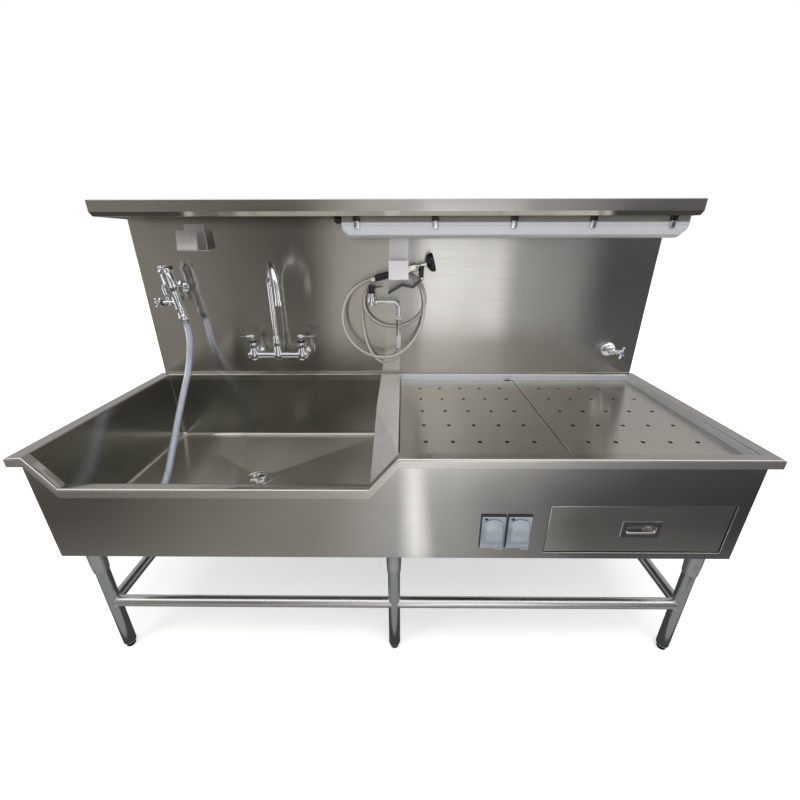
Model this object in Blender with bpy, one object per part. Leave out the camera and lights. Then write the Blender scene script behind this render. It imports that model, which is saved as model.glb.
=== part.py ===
"""Embalming sink station: a stainless steel sink and drained worktop with a back panel, shelf, lamp and fittings.

Units are metres. X runs along the station, the user stands on the -Y side, and +Z is up.
The origin is on the floor, under the middle of the station's overall box.
"""
import math

import bmesh
import bpy
from mathutils import Matrix, Vector

# Overall sizes
STATION_WIDTH = 2.134        # end to end over the rim
DECK_DEPTH = 0.750           # front edge of the rim to the face of the back panel
PANEL_BOX = 0.050            # depth of the folded back panel
RIM_HEIGHT = 0.864           # floor to the top of the rim
SHEET = 0.002                # stainless sheet
FIT = 0.0003                 # gap between pieces that touch

# Rim of the top
RIM_SKIRT = 0.028
RIM_FRONT = 0.036
RIM_SIDE = 0.045
RIM_BACK = 0.025
DIP_DEPTH = 0.102            # how far the front edge drops at the sink
DIP_RUN = 0.067              # length of the drop at the left corner
DIVIDER_LEFT = -0.066        # strip between sink and worktop
DIVIDER_WIDTH = 0.084
GUSSET_LENGTH = 0.344        # sloping corner of the strip, behind the front rim

# Sink bowl and its drain
BOWL_DEPTH = 0.305
BOWL_FALL = 0.020            # creased floor, wall to drain
BOWL_COVE = 0.018
DRAIN_HOLE = 0.0445          # radii from here to the end of this group
DRAIN_SEAT = 0.064
DRAIN_FLANGE = 0.057
DRAIN_CUP = 0.040
TAIL_RADIUS = 0.019
TAIL_WALL = 0.0015
TAIL_LENGTH = 0.120
CUP_DEPTH = 0.045
STRAINER_RADIUS = 0.0385
STRAINER_DEPTH = 0.026
STRAINER_HOLES = 8

# Worktop pan and perforated covers
PAN_DEPTH = 0.070
PAN_FALL = 0.008
PAN_COVE = 0.006
PAN_DRAIN_X = 0.140
PAN_DRAIN_Y = 0.200
NIPPLE_RADIUS = 0.021
NIPPLE_LENGTH = 0.050
LEDGE_WIDTH = 0.014
LEDGE_HEIGHT = 0.010
COVER_SEAT = 0.001           # underside of the covers below the top of the pan's wall
COVER_SHEET = 0.003
COVER_GAP = 0.0015
HOLE_COUNT = 5               # rows and columns on each cover
HOLE_PITCH_X = 0.084
HOLE_PITCH_Y = 0.116
HOLE_RADIUS = 0.0064
NOTCH_WIDTH = 0.034
NOTCH_DEPTH = 0.016

# Body sheets
APRON_HEIGHT = 0.372         # rim top to the bottom of the body
APRON_SETBACK = 0.023        # apron behind the front edge of the rim
END_SETBACK = 0.016          # end panels inside the ends of the rim
APRON_FLANGE = 0.024
END_FLANGE = 0.016

# Back panel and shelf
PANEL_INSET = 0.012          # panel ends inside the ends of the rim
PANEL_RISE = 0.630           # rim top to the bottom edge of the shelf
SHELF_REACH = 0.190          # shelf front, ahead of the panel face
SHELF_LIP = 0.052
SHELF_RETURN = 0.014

# Base
LEG_RADIUS = 0.02065
LEG_WALL = 0.0015
LEG_INSET_X = 0.064
LEG_INSET_FRONT = 0.0835
LEG_INSET_BACK = 0.060
LEG_BOTTOM = 0.022
SOCKET_RADIUS = 0.0250
SOCKET_TIP_RADIUS = 0.0232
SOCKET_LENGTH = 0.120
SOCKET_TAPER = 0.036
CHANNEL_WIDTH = 0.090
CHANNEL_HEIGHT = 0.015
RAIL_RADIUS = 0.019
RAIL_WALL = 0.0015
RAIL_HEIGHT = 0.226
FOOT_PLUG_LENGTH = 0.040
FOOT_PAD_RADIUS = 0.0140

# Drawer
DRAWER_INSET = 0.055         # right edge of the opening, inside the end of the rim
DRAWER_WIDTH = 0.546
DRAWER_RISE = 0.024          # opening above the bottom of the body
DRAWER_HEIGHT = 0.177
DRAWER_GAP = 0.0025
DRAWER_RECESS = 0.003        # front face behind the apron face
DRAWER_FRONT_DEPTH = 0.014
DRAWER_DEPTH = 0.560
DRAWER_WALL = 0.0012
DRAWER_SIDE_HEIGHT = 0.120
RUNNER_HEIGHT = 0.014
RUNNER_WIDTH = 0.018
HOUSING_WALL = 0.0012
HOUSING_MARGIN = 0.006
PULL_SHIFT = 0.011           # pull right of the opening's middle
PULL_RISE = 0.090            # and its middle above the opening's bottom
PULL_WIDTH = 0.119
PULL_HEIGHT = 0.060
PULL_PLATE = 0.0015
PULL_CUP_WIDTH = 0.094
PULL_CUP_HEIGHT = 0.036
PULL_CUP_DEPTH = 0.024

# Splash-proof outlets
OUTLET_TO_DRAWER = 0.165     # middle of the left one to the drawer's opening
OUTLET_PITCH = 0.079
OUTLET_RISE = 0.109          # middle above the bottom of the body
OUTLET_WIDTH = 0.075
OUTLET_HEIGHT = 0.124
OUTLET_PLATE = 0.004
OUTLET_WINDOW_WIDTH = 0.036
OUTLET_WINDOW_HEIGHT = 0.070
OUTLET_SOCKET_DEPTH = 0.034
LID_MARGIN = 0.003
LID_WALL = 0.0018
LID_BULGE = 0.014
LID_FLAT = 0.0035
LID_TAB = 0.022

# Lamp
LAMP_LENGTH = 1.235
LAMP_INSET = 0.022           # right end, inside the end of the rim
LAMP_FRONT = 0.150           # lamp front, ahead of the panel face
LAMP_WIDTH = 0.104
LAMP_HANG = 0.0407           # housing below the underside of the shelf
LAMP_HOUSING = 0.028         # height of the housing
LAMP_COVER = 0.052           # height of the cover
LAMP_WALL = 0.0025
LAMP_END_SLOPE = 0.024
HANGER_INSET = 0.180         # from each end of the lamp
HANGER_WIDTH = 0.040
HANGER_LENGTH = 0.070
LATCH_COUNT = 5
LATCH_FIRST = 0.054          # from the lamp's left end
LATCH_PITCH = 0.280
LATCH_WIDTH = 0.013
LATCH_DEPTH = 0.007
LATCH_DROP = 0.020
GLAND_RADIUS = 0.017
GLAND_LENGTH = 0.034

# Hooks on the back panel
HOOK_SHEET = 0.0025
HOOK_WIDTH = 0.078
HOOK_REACH = 0.085
LEFT_HOOK_INSET = 0.270      # from the end of the rim
LEFT_HOOK_RISE = 0.515       # above the rim, as all rises from here on
LEFT_HOOK_LIP = 0.074
LEFT_HOOK_PLATE = 0.098
SPRAY_HOOK_X = 0.012
SPRAY_HOOK_RISE = 0.405
SPRAY_HOOK_LIP = 0.074
SPRAY_HOOK_PLATE = 0.190
HOOK_FLOOR_RISE = 0.014      # trough floor rises towards the panel

# Threaded shanks through the back panel
SHANK_RADIUS = 0.0125
SHANK_NUT = 0.020
SHANK_TAIL = 0.028
SHANK_HOLE_GAP = 0.0005

# Faucet
FAUCET_SHIFT = 0.041         # right of the drain
FAUCET_OUT = 0.070           # ahead of the panel face, as all reaches out from here on
FAUCET_RISE = 0.101
FAUCET_CENTRES = 0.2032
FAUCET_BAR = 0.0115
FAUCET_VALVE = 0.0175
FAUCET_VALVE_HEIGHT = 0.055  # these heights are above the faucet's bar
SPOUT_RADIUS = 0.0100
SPOUT_BASE_HEIGHT = 0.067
SPOUT_REACH = 0.180
SPOUT_TURN = 26.0            # degrees, from the front towards +X
SPOUT_ARCH_HEIGHT = 0.280
SPOUT_OUTLET_HEIGHT = 0.231
LEVER_LENGTH = 0.060

# Aspirator
ASPIRATOR_INSET = 0.2005     # bottom end, from the end of the rim
ASPIRATOR_OUT = 0.080
ASPIRATOR_RISE = 0.246
ASPIRATOR_LENGTH = 0.222
ASPIRATOR_LEAN = 10.0        # degrees
ASPIRATOR_TUBE = 0.0165
ASPIRATOR_HEAD = 0.0215
ASPIRATOR_SIDE_TUBE = 0.0080
ASPIRATOR_SIDE_GAP = 0.031
ASPIRATOR_STEM_AT = 0.076    # along the body, from its bottom end
ASPIRATOR_STEM = 0.0095
ASPIRATOR_STEM_LENGTH = 0.066
CLEAR_HOSE_RADIUS = 0.0125

# Spray set
SPRAY_VALVE_X = -0.100
SPRAY_VALVE_OUT = 0.050
SPRAY_VALVE_RISE = 0.302
SPRAY_VALVE_HEIGHT = 0.052
SPRAY_VALVE_RADIUS = 0.0150
SPRAY_VALVE_FLANGE = 0.0180
SPRAY_PIPE_X = 0.011
SPRAY_PIPE_HEIGHT = 0.018    # above the bottom of the valve
SPRAY_PIPE_RADIUS = 0.0078
SPRAY_PIPE_BEND = 0.026
SPRAY_SLEEVE_RADIUS = 0.0110
SPRAY_SLEEVE_RISE = 0.122
SPRAY_SLEEVE_LENGTH = 0.143
SPRAY_LEVER_LENGTH = 0.046
GUN_OUT = 0.0555
GUN_TAIL_X = -0.098
GUN_TAIL_RISE = 0.4075
GUN_SLOPE = 15.0             # degrees
GUN_GRIP_RADIUS = 0.0140
GUN_TAIL_RADIUS = 0.0095
GUN_STEM_RADIUS = 0.0065
GUN_LENGTH = 0.228
BUMPER_RADIUS = 0.036
BUMPER_DEPTH = 0.030
TRIGGER_WIDTH = 0.012
TRIGGER_THICK = 0.005
TRIGGER_PIVOT_X = 0.104
TRIGGER_PIVOT_RISE = 0.412
TRIGGER_BARREL = 0.0060
TRIGGER_PIN = 0.0022
TRIGGER_CHEEK = 0.0030
TRIGGER_REACH = 0.134        # back from its pivot
TRIGGER_DROP = 0.056         # and down from it
SPRAY_HOSE_RADIUS = 0.0072
LOOP_POINTS = 24             # points on a whole turn of the spray hose

# Wall valve at the right
WALL_VALVE_INSET = 0.133     # from the end of the rim
WALL_VALVE_RISE = 0.108
WALL_VALVE_OUT = 0.038
WALL_VALVE_FLANGE = 0.031
WALL_VALVE_RADIUS = 0.0145
WALL_VALVE_TURN = 40.0       # degrees, stem from the front towards +X
WALL_VALVE_STEM = 0.030
WALL_VALVE_ARM = 0.022

# Facets of round pieces
LEG_SIDES = 16
ROUND_SIDES = 16
SMALL_SIDES = 10

# Places worked out from the sizes
HALF = STATION_WIDTH / 2
Y_FRONT = -(DECK_DEPTH + PANEL_BOX) / 2
Y_PANEL = Y_FRONT + DECK_DEPTH
Y_BACK = Y_PANEL + PANEL_BOX
Y_APRON = Y_FRONT + APRON_SETBACK
RIM_IN_X = HALF - RIM_SIDE
RIM_IN_FRONT = Y_FRONT + RIM_FRONT
RIM_IN_BACK = Y_PANEL - RIM_BACK
DIVIDER_RIGHT = DIVIDER_LEFT + DIVIDER_WIDTH
GUSSET_BACK = RIM_IN_FRONT + GUSSET_LENGTH
WALL_TOP = RIM_HEIGHT - RIM_SKIRT - FIT
BODY_LOW = RIM_HEIGHT - APRON_HEIGHT
END_X = HALF - END_SETBACK
PANEL_X = HALF - PANEL_INSET
SHELF_X = PANEL_X + SHEET + FIT
SHELF_LOW = RIM_HEIGHT + PANEL_RISE
SHELF_TOP = SHELF_LOW + SHELF_LIP
CHANNEL_LOW = BODY_LOW + SHEET + FIT
LEG_X = HALF - LEG_INSET_X
LEG_Y_FRONT = Y_FRONT + LEG_INSET_FRONT
LEG_Y_BACK = Y_PANEL - LEG_INSET_BACK
BOWL_X = (-RIM_IN_X, DIVIDER_LEFT)
PAN_X = (DIVIDER_RIGHT, RIM_IN_X)
BASIN_Y = (RIM_IN_FRONT, RIM_IN_BACK)
BOWL_FLOOR = RIM_HEIGHT - BOWL_DEPTH
DRAIN_X = sum(BOWL_X) / 2
DRAIN_Y = sum(BASIN_Y) / 2
DRAIN_Z = BOWL_FLOOR - BOWL_FALL
DRAWER_RIGHT = HALF - DRAWER_INSET
DRAWER_LEFT = DRAWER_RIGHT - DRAWER_WIDTH
DRAWER_LOW = BODY_LOW + DRAWER_RISE
DRAWER_HIGH = DRAWER_LOW + DRAWER_HEIGHT
PULL_X = (DRAWER_LEFT + DRAWER_RIGHT) / 2 + PULL_SHIFT
PULL_Z = DRAWER_LOW + PULL_RISE
OUTLET_FIRST_X = DRAWER_LEFT - OUTLET_TO_DRAWER
OUTLET_Z = BODY_LOW + OUTLET_RISE
LAMP_RIGHT = HALF - LAMP_INSET
LAMP_LEFT = LAMP_RIGHT - LAMP_LENGTH
LAMP_TOP = SHELF_TOP - SHEET - FIT - LAMP_HANG
LAMP_SEAM = LAMP_TOP - LAMP_HOUSING
LAMP_BOTTOM = LAMP_SEAM - LAMP_COVER
LEFT_HOOK_X = -HALF + LEFT_HOOK_INSET
LEFT_HOOK_LOW = RIM_HEIGHT + LEFT_HOOK_RISE
SPRAY_HOOK_LOW = RIM_HEIGHT + SPRAY_HOOK_RISE
FAUCET_X = DRAIN_X + FAUCET_SHIFT
FAUCET_Y = Y_PANEL - FAUCET_OUT
FAUCET_Z = RIM_HEIGHT + FAUCET_RISE
FAUCET_TOP = FAUCET_Z + FAUCET_VALVE_HEIGHT
SPOUT_BASE_Z = FAUCET_Z + SPOUT_BASE_HEIGHT
SPOUT_ARCH_Z = FAUCET_Z + SPOUT_ARCH_HEIGHT
SPOUT_OUTLET_Z = FAUCET_Z + SPOUT_OUTLET_HEIGHT
ASPIRATOR_X = -HALF + ASPIRATOR_INSET
ASPIRATOR_Y = Y_PANEL - ASPIRATOR_OUT
ASPIRATOR_LOW = RIM_HEIGHT + ASPIRATOR_RISE
SPRAY_VALVE_Y = Y_PANEL - SPRAY_VALVE_OUT
SPRAY_VALVE_LOW = RIM_HEIGHT + SPRAY_VALVE_RISE
SPRAY_VALVE_TOP = SPRAY_VALVE_LOW + SPRAY_VALVE_HEIGHT
SPRAY_PIPE_Z = SPRAY_VALVE_LOW + SPRAY_PIPE_HEIGHT
SPRAY_SLEEVE_LOW = RIM_HEIGHT + SPRAY_SLEEVE_RISE
SPRAY_SLEEVE_TOP = SPRAY_SLEEVE_LOW + SPRAY_SLEEVE_LENGTH
GUN_Y = Y_PANEL - GUN_OUT
GUN_TAIL_Z = RIM_HEIGHT + GUN_TAIL_RISE
TRIGGER_PIVOT_Z = RIM_HEIGHT + TRIGGER_PIVOT_RISE
WALL_VALVE_X = HALF - WALL_VALVE_INSET
WALL_VALVE_Y = Y_PANEL - WALL_VALVE_OUT
WALL_VALVE_Z = RIM_HEIGHT + WALL_VALVE_RISE

# Finishes: colour, roughness, metallic
FINISHES = {
    "brushed_stainless": ((0.42, 0.40, 0.37), 0.34, 1.0),
    "polished_chrome": ((0.72, 0.73, 0.75), 0.10, 1.0),
    "dark_steel": ((0.09, 0.09, 0.09), 0.45, 1.0),
    "grey_plastic": ((0.42, 0.44, 0.46), 0.45, 0.0),
    "milky_plastic": ((0.82, 0.83, 0.84), 0.35, 0.0),
    "black_rubber": ((0.02, 0.02, 0.02), 0.60, 0.0),
    "white_plastic": ((0.80, 0.80, 0.78), 0.40, 0.0),
    "clear_vinyl": ((0.75, 0.80, 0.84), 0.12, 0.0),
    "steel_hose": ((0.55, 0.54, 0.52), 0.28, 1.0),
}

for old in list(bpy.data.objects):
    bpy.data.objects.remove(old, do_unlink=True)


# Modelling helpers

def finish_material(slot):
    """The one material of a finish."""
    if slot in bpy.data.materials:
        return bpy.data.materials[slot]
    colour, roughness, metallic = FINISHES[slot]
    material = bpy.data.materials.new(slot)
    material.use_nodes = True
    shader = material.node_tree.nodes["Principled BSDF"]
    shader.inputs["Base Color"].default_value = (*colour, 1.0)
    shader.inputs["Roughness"].default_value = roughness
    shader.inputs["Metallic"].default_value = metallic
    return material


def link(name, data):
    """New object in the scene."""
    obj = bpy.data.objects.new(name, data)
    bpy.context.scene.collection.objects.link(obj)
    return obj


def solid(name, bm):
    """Object from a bmesh, with its faces turned outwards."""
    bmesh.ops.recalc_face_normals(bm, faces=bm.faces[:])
    mesh = bpy.data.meshes.new(name)
    bm.to_mesh(mesh)
    bm.free()
    return link(name, mesh)


def prism(name, outline, axis, limits):
    """Outline extruded along an axis; its points lie in the other two axes, in X, Y, Z order."""
    def place(a, b, along):
        point = [a, b]
        point.insert("XYZ".index(axis), along)
        return Vector(point)

    bm = bmesh.new()
    near, far = [[bm.verts.new(place(a, b, limit)) for a, b in outline] for limit in limits]
    bm.faces.new(near)
    bm.faces.new(far)
    for number in range(len(outline)):
        bm.faces.new((near[number - 1], near[number], far[number], far[number - 1]))
    return solid(name, bm)


def box(name, x, y, z):
    """Block between two limits on each axis."""
    return prism(name, [(x[0], y[0]), (x[1], y[0]), (x[1], y[1]), (x[0], y[1])], "Z", z)


def hull(name, points):
    """Convex solid round some points."""
    bm = bmesh.new()
    for point in points:
        bm.verts.new(point)
    result = bmesh.ops.convex_hull(bm, input=bm.verts[:])
    inside = [item for item in result["geom_interior"] if isinstance(item, bmesh.types.BMVert)]
    bmesh.ops.delete(bm, geom=inside, context="VERTS")
    return solid(name, bm)


def lathe(name, profile, origin, direction=(0, 0, 1), sides=ROUND_SIDES, ring=False):
    """(radius, height) profile turned about an axis through origin; a ring profile is closed on itself."""
    bm = bmesh.new()
    verts = [bm.verts.new((radius, 0.0, height)) for radius, height in profile]
    pairs = list(zip(verts, verts[1:]))
    if ring:
        pairs.append((verts[-1], verts[0]))
    edges = [bm.edges.new(pair) for pair in pairs]
    bmesh.ops.spin(bm, geom=verts + edges, cent=(0, 0, 0), axis=(0, 0, 1),
                   angle=math.tau, steps=sides, use_merge=True)
    bmesh.ops.remove_doubles(bm, verts=bm.verts[:], dist=1e-6)
    turn = Vector((0, 0, 1)).rotation_difference(Vector(direction)).to_matrix().to_4x4()
    bmesh.ops.transform(bm, matrix=Matrix.Translation(origin) @ turn, verts=bm.verts[:])
    return solid(name, bm)


def rod(name, start, end, radius, sides=SMALL_SIDES):
    """Round bar between two points."""
    axis = Vector(end) - Vector(start)
    profile = [(0, 0), (radius, 0), (radius, axis.length), (0, axis.length)]
    return lathe(name, profile, start, axis, sides)


def swept_curve(name, points, radius, sides):
    """Round tube along points, as a curve with filled ends."""
    curve = bpy.data.curves.new(name, "CURVE")
    curve.dimensions = "3D"
    curve.bevel_depth = radius
    curve.bevel_resolution = (sides - 4) // 2
    curve.use_fill_caps = True
    spline = curve.splines.new("POLY")
    spline.points.add(len(points) - 1)
    for knot, point in zip(spline.points, points):
        knot.co = (*point, 1.0)
    return link(name, curve)


def evaluated_mesh(obj):
    """Mesh of an object with its modifiers."""
    bpy.context.view_layer.update()
    return bpy.data.meshes.new_from_object(obj.evaluated_get(bpy.context.evaluated_depsgraph_get()))


def pipe(name, points, radius, sides=SMALL_SIDES):
    """Swept tube as a mesh, for joining to other shapes."""
    guide = swept_curve(name + "_line", points, radius, sides)
    bm = bmesh.new()
    bm.from_mesh(evaluated_mesh(guide))
    bpy.data.objects.remove(guide)
    bmesh.ops.remove_doubles(bm, verts=bm.verts[:], dist=1e-6)
    return solid(name, bm)


def combine(operation, body, tools):
    """Boolean of a body with each tool in turn; the tools are used up."""
    for tool in tools:
        modifier = body.modifiers.new(operation, "BOOLEAN")
        modifier.operation = operation
        modifier.solver = "EXACT"
        modifier.object = tool
    mesh = evaluated_mesh(body)
    body.modifiers.clear()
    body.data = mesh
    for tool in tools:
        bpy.data.objects.remove(tool)
    return body


def union(body, *tools):
    return combine("UNION", body, tools)


def cut(body, *tools):
    return combine("DIFFERENCE", body, tools)


def finish(obj, slot, pivot=None):
    """Material, shading and, for a moving piece, an origin on its joint's axis."""
    obj.data.materials.clear()
    obj.data.materials.append(finish_material(slot))
    if obj.type == "MESH":
        for polygon in obj.data.polygons:
            polygon.material_index = 0
        obj.data.shade_smooth()
        obj.data.set_sharp_from_angle(angle=math.radians(32))
    if pivot is not None:
        obj.data.transform(Matrix.Translation(-Vector(pivot)))
        obj.location = pivot
    return obj


def cross_handle(name, hub, direction, hub_radius, hub_length, arm, arm_radius, lean):
    """Chrome hub with four round arms, turning about direction: made about its own origin, which goes to hub."""
    axis = Vector(direction).normalized()
    body = lathe(name, [(0, 0), (hub_radius, 0), (hub_radius, hub_length * 0.8),
                        (hub_radius * 0.7, hub_length), (0, hub_length)], (0, 0, 0), axis)
    side = axis.cross(Vector((0, 0, 1))).normalized()
    middle = axis * hub_length * 0.5
    for quarter in range(4):
        angle = math.radians(90 * quarter + 45 + lean)
        outward = side * math.cos(angle) + axis.cross(side) * math.sin(angle)
        tip = middle + outward * arm
        union(body, rod("arm", middle + outward * hub_radius * 0.55, tip, arm_radius, 8),
              lathe("knob", [(0, 0), (arm_radius * 1.35, 0), (arm_radius * 1.35, arm_radius * 2.4),
                             (0, arm_radius * 2.4)], tip - outward * arm_radius * 1.2, outward, 8))
    finish(body, "polished_chrome")
    body.location = hub
    return body


# The top: rim, bowl and pan

def front_line(drop, end):
    """Top line of the front rim in X and Z, lowered by drop, from -end to end."""
    high = RIM_HEIGHT - drop
    low = high - DIP_DEPTH
    return [(-end, high), (-RIM_IN_X, high), (-RIM_IN_X + DIP_RUN, low),
            (DIVIDER_LEFT, low), (DIVIDER_RIGHT, high), (end, high)]


def front_band(name, drop, depth, end, y):
    """Strip that follows the front rim, between two depths below it."""
    outline = front_line(drop, end) + front_line(depth, end)[::-1]
    return prism(name, outline, "Y", y)


def gusset_height(x, y):
    """Height of the sloping corner of the strip beside the sink."""
    share = (DIVIDER_RIGHT - x) / DIVIDER_WIDTH - (y - RIM_IN_FRONT) / GUSSET_LENGTH
    return RIM_HEIGHT - DIP_DEPTH * max(share, 0.0)


def gusset(name, drop, depth, inset, reach):
    """Wedge under the sloping corner; reach carries it into the pieces that it is welded to."""
    left = DIVIDER_LEFT + inset
    right = DIVIDER_RIGHT - inset
    corners = [(left, RIM_IN_FRONT), (right, RIM_IN_FRONT), (left, GUSSET_BACK)]
    points = [(x, y, gusset_height(x, y) - drop) for x, y in corners]
    if reach:
        points += [(x, RIM_IN_FRONT - reach, gusset_height(x, RIM_IN_FRONT) - 2 * drop - reach / 10)
                   for x in (left, right)]
        points.append(((left + right) / 2 + reach, (RIM_IN_FRONT + GUSSET_BACK) / 2, RIM_HEIGHT - reach / 10))
    return hull(name, points + [(x, y, z - depth) for x, y, z in points])


def make_rim():
    """Inverted channel all round the top, with the low front edge and the strip beside the sink."""
    skirt = (RIM_HEIGHT - RIM_SKIRT, RIM_HEIGHT)
    open_low = RIM_SKIRT * 2
    inner = (RIM_HEIGHT - open_low, RIM_HEIGHT - SHEET)
    rear = Y_PANEL - FIT
    past_rear = Y_PANEL + SHEET
    rim = front_band("deck_rim", 0, RIM_SKIRT, HALF, (Y_FRONT, RIM_IN_FRONT))
    strip = [(DIVIDER_LEFT, GUSSET_BACK), (DIVIDER_RIGHT, RIM_IN_FRONT),
             (DIVIDER_RIGHT, RIM_IN_BACK + SHEET), (DIVIDER_LEFT, RIM_IN_BACK + SHEET)]
    union(rim,
          box("left", (-HALF, -RIM_IN_X), (Y_FRONT, rear), skirt),
          box("right", (RIM_IN_X, HALF), (Y_FRONT, rear), skirt),
          box("back", (-HALF, HALF), (RIM_IN_BACK, rear), skirt),
          prism("strip", strip, "Z", skirt),
          gusset("corner", 0, RIM_SKIRT, 0, RIM_SKIRT / 3))
    hollow_strip = [(DIVIDER_LEFT + SHEET, GUSSET_BACK + SHEET), (DIVIDER_RIGHT - SHEET, RIM_IN_FRONT + SHEET),
                    (DIVIDER_RIGHT - SHEET, RIM_IN_BACK), (DIVIDER_LEFT + SHEET, RIM_IN_BACK)]
    cut(rim,
        front_band("in_front", SHEET, open_low, HALF - SHEET, (Y_FRONT + SHEET, RIM_IN_FRONT - SHEET)),
        box("in_left", (-HALF + SHEET, -RIM_IN_X - SHEET), (Y_FRONT + SHEET, past_rear), inner),
        box("in_right", (RIM_IN_X + SHEET, HALF - SHEET), (Y_FRONT + SHEET, past_rear), inner),
        box("in_back", (-HALF + SHEET, HALF - SHEET), (RIM_IN_BACK + SHEET, past_rear), inner),
        prism("in_strip", hollow_strip, "Z", inner),
        box("pan_wall_room", (DIVIDER_RIGHT - SHEET - FIT, DIVIDER_RIGHT + SHEET),
            (RIM_IN_FRONT - SHEET - FIT, GUSSET_BACK), (RIM_HEIGHT - open_low, RIM_HEIGHT - RIM_SKIRT)),
        gusset("in_corner", 1.5 * SHEET, open_low, SHEET, 0))
    return finish(rim, "brushed_stainless")


RING_SIDE = 6                # points on each side of a basin's ring


def rectangle_ring(x, y, grow, z):
    """Points round a rectangle that is grown by some width."""
    corners = [(x[0] - grow, y[0] - grow), (x[1] + grow, y[0] - grow),
               (x[1] + grow, y[1] + grow), (x[0] - grow, y[1] + grow)]
    ring = []
    for start, end in zip(corners, corners[1:] + corners[:1]):
        for step in range(RING_SIDE):
            share = step / RING_SIDE
            ring.append((start[0] + (end[0] - start[0]) * share, start[1] + (end[1] - start[1]) * share, z))
    return ring


def circle_ring(centre, radius, z):
    """As many points round a circle, its first one towards the rectangle's first corner."""
    count = 4 * RING_SIDE
    angles = [math.radians(225) + math.tau * step / count for step in range(count)]
    return [(centre[0] + radius * math.cos(a), centre[1] + radius * math.sin(a), z) for a in angles]


def basin(name, x, y, top, floor, fall, cove, drain, seat, hole, nipple):
    """Sheet basin with coved edges and a floor creased towards a drain hole, as rings joined in a loop."""
    low = floor - fall

    def cove_rings(thick):
        rings = []
        for angle in (0, 45, 90):
            grow = (cove + thick) * math.cos(math.radians(angle)) - cove
            z = floor + cove - (cove + thick) * math.sin(math.radians(angle))
            rings.append(rectangle_ring(x, y, grow, z))
        return rings

    inner = [rectangle_ring(x, y, 0, top)] + cove_rings(0)
    inner += [circle_ring(drain, seat, low), circle_ring(drain, hole, low)]
    outer = [rectangle_ring(x, y, SHEET, top)] + cove_rings(SHEET)
    if nipple:
        inner.append(circle_ring(drain, hole, low - nipple))
        outer += [circle_ring(drain, seat, low - SHEET), circle_ring(drain, hole + SHEET, low - SHEET)]
        outer.append(circle_ring(drain, hole + SHEET, low - nipple))
    else:
        outer += [circle_ring(drain, seat, low - SHEET), circle_ring(drain, hole, low - SHEET)]
    loop = inner + outer[::-1]
    bm = bmesh.new()
    rings = [[bm.verts.new(point) for point in ring] for ring in loop]
    for ring, following in zip(rings, rings[1:] + rings[:1]):
        for step in range(len(ring)):
            after = (step + 1) % len(ring)
            bm.faces.new((ring[step], ring[after], following[after], following[step]))
    return solid(name, bm)


def make_bowl():
    """Sink bowl, its wall cut down under the low front edge and the sloping corner."""
    bowl = basin("sink_bowl", BOWL_X, BASIN_Y, WALL_TOP, BOWL_FLOOR, BOWL_FALL, BOWL_COVE,
                 (DRAIN_X, DRAIN_Y), DRAIN_SEAT, DRAIN_HOLE, 0)
    above = 2 * SHEET
    low_line = front_line(RIM_SKIRT + FIT, RIM_IN_X + above)
    front_outline = low_line[1:5] + [(DIVIDER_RIGHT, RIM_HEIGHT + above), (-RIM_IN_X, RIM_HEIGHT + above)]
    side_outline = [(RIM_IN_FRONT - above, WALL_TOP - DIP_DEPTH), (RIM_IN_FRONT, WALL_TOP - DIP_DEPTH),
                    (GUSSET_BACK, WALL_TOP), (GUSSET_BACK, RIM_HEIGHT), (RIM_IN_FRONT - above, RIM_HEIGHT)]
    cut(bowl,
        prism("front_cut", front_outline, "Y", (RIM_IN_FRONT - above, RIM_IN_FRONT + SHEET / 2)),
        prism("side_cut", side_outline, "X", (DIVIDER_LEFT - SHEET / 2, DIVIDER_LEFT + above)))
    return finish(bowl, "brushed_stainless")


COVER_LOW = WALL_TOP - COVER_SEAT


def make_pan():
    """Worktop pan with the ledges that carry the covers."""
    pan = basin("work_pan", PAN_X, BASIN_Y, WALL_TOP, RIM_HEIGHT - PAN_DEPTH, PAN_FALL, PAN_COVE,
                (PAN_DRAIN_X, PAN_DRAIN_Y), NIPPLE_RADIUS * 1.3, NIPPLE_RADIUS - SHEET, NIPPLE_LENGTH)
    top = COVER_LOW - FIT
    z = (top - LEDGE_HEIGHT, top)
    weld = SHEET / 2
    ends = (PAN_X[0] - weld, PAN_X[1] + weld)
    middle = sum(PAN_X) / 2
    union(pan,
          box("ledge_front", ends, (BASIN_Y[0] - weld, BASIN_Y[0] + LEDGE_WIDTH), z),
          box("ledge_back", ends, (BASIN_Y[1] - LEDGE_WIDTH, BASIN_Y[1] + weld), z),
          box("ledge_middle", (middle - LEDGE_WIDTH, middle + LEDGE_WIDTH),
              (BASIN_Y[0] - weld, BASIN_Y[1] + weld), z))
    return finish(pan, "brushed_stainless")


def make_cover(name, x, notch):
    """Perforated lift-out cover, with a finger notch at its back corner where it has one."""
    y = (BASIN_Y[0] + COVER_GAP, BASIN_Y[1] - COVER_GAP)
    z = (COVER_LOW, COVER_LOW + COVER_SHEET)
    cover = box(name, x, y, z)
    span = (HOLE_COUNT - 1) / 2
    holes = []
    for column in range(HOLE_COUNT):
        for row in range(HOLE_COUNT):
            centre = (sum(x) / 2 + (column - span) * HOLE_PITCH_X, sum(y) / 2 + (row - span) * HOLE_PITCH_Y)
            holes.append(rod("hole", (*centre, z[0] - COVER_SHEET), (*centre, z[1] + COVER_SHEET), HOLE_RADIUS, 8))
    if notch:
        holes.append(box("notch", (x[1] - NOTCH_WIDTH, x[1] - NOTCH_WIDTH / 4),
                         (y[1] - NOTCH_DEPTH, y[1] + NOTCH_DEPTH), (z[0] - COVER_SHEET, z[1] + COVER_SHEET)))
    cut(cover, *holes)
    return finish(cover, "brushed_stainless", (sum(x) / 2, sum(y) / 2, z[0]))


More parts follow.
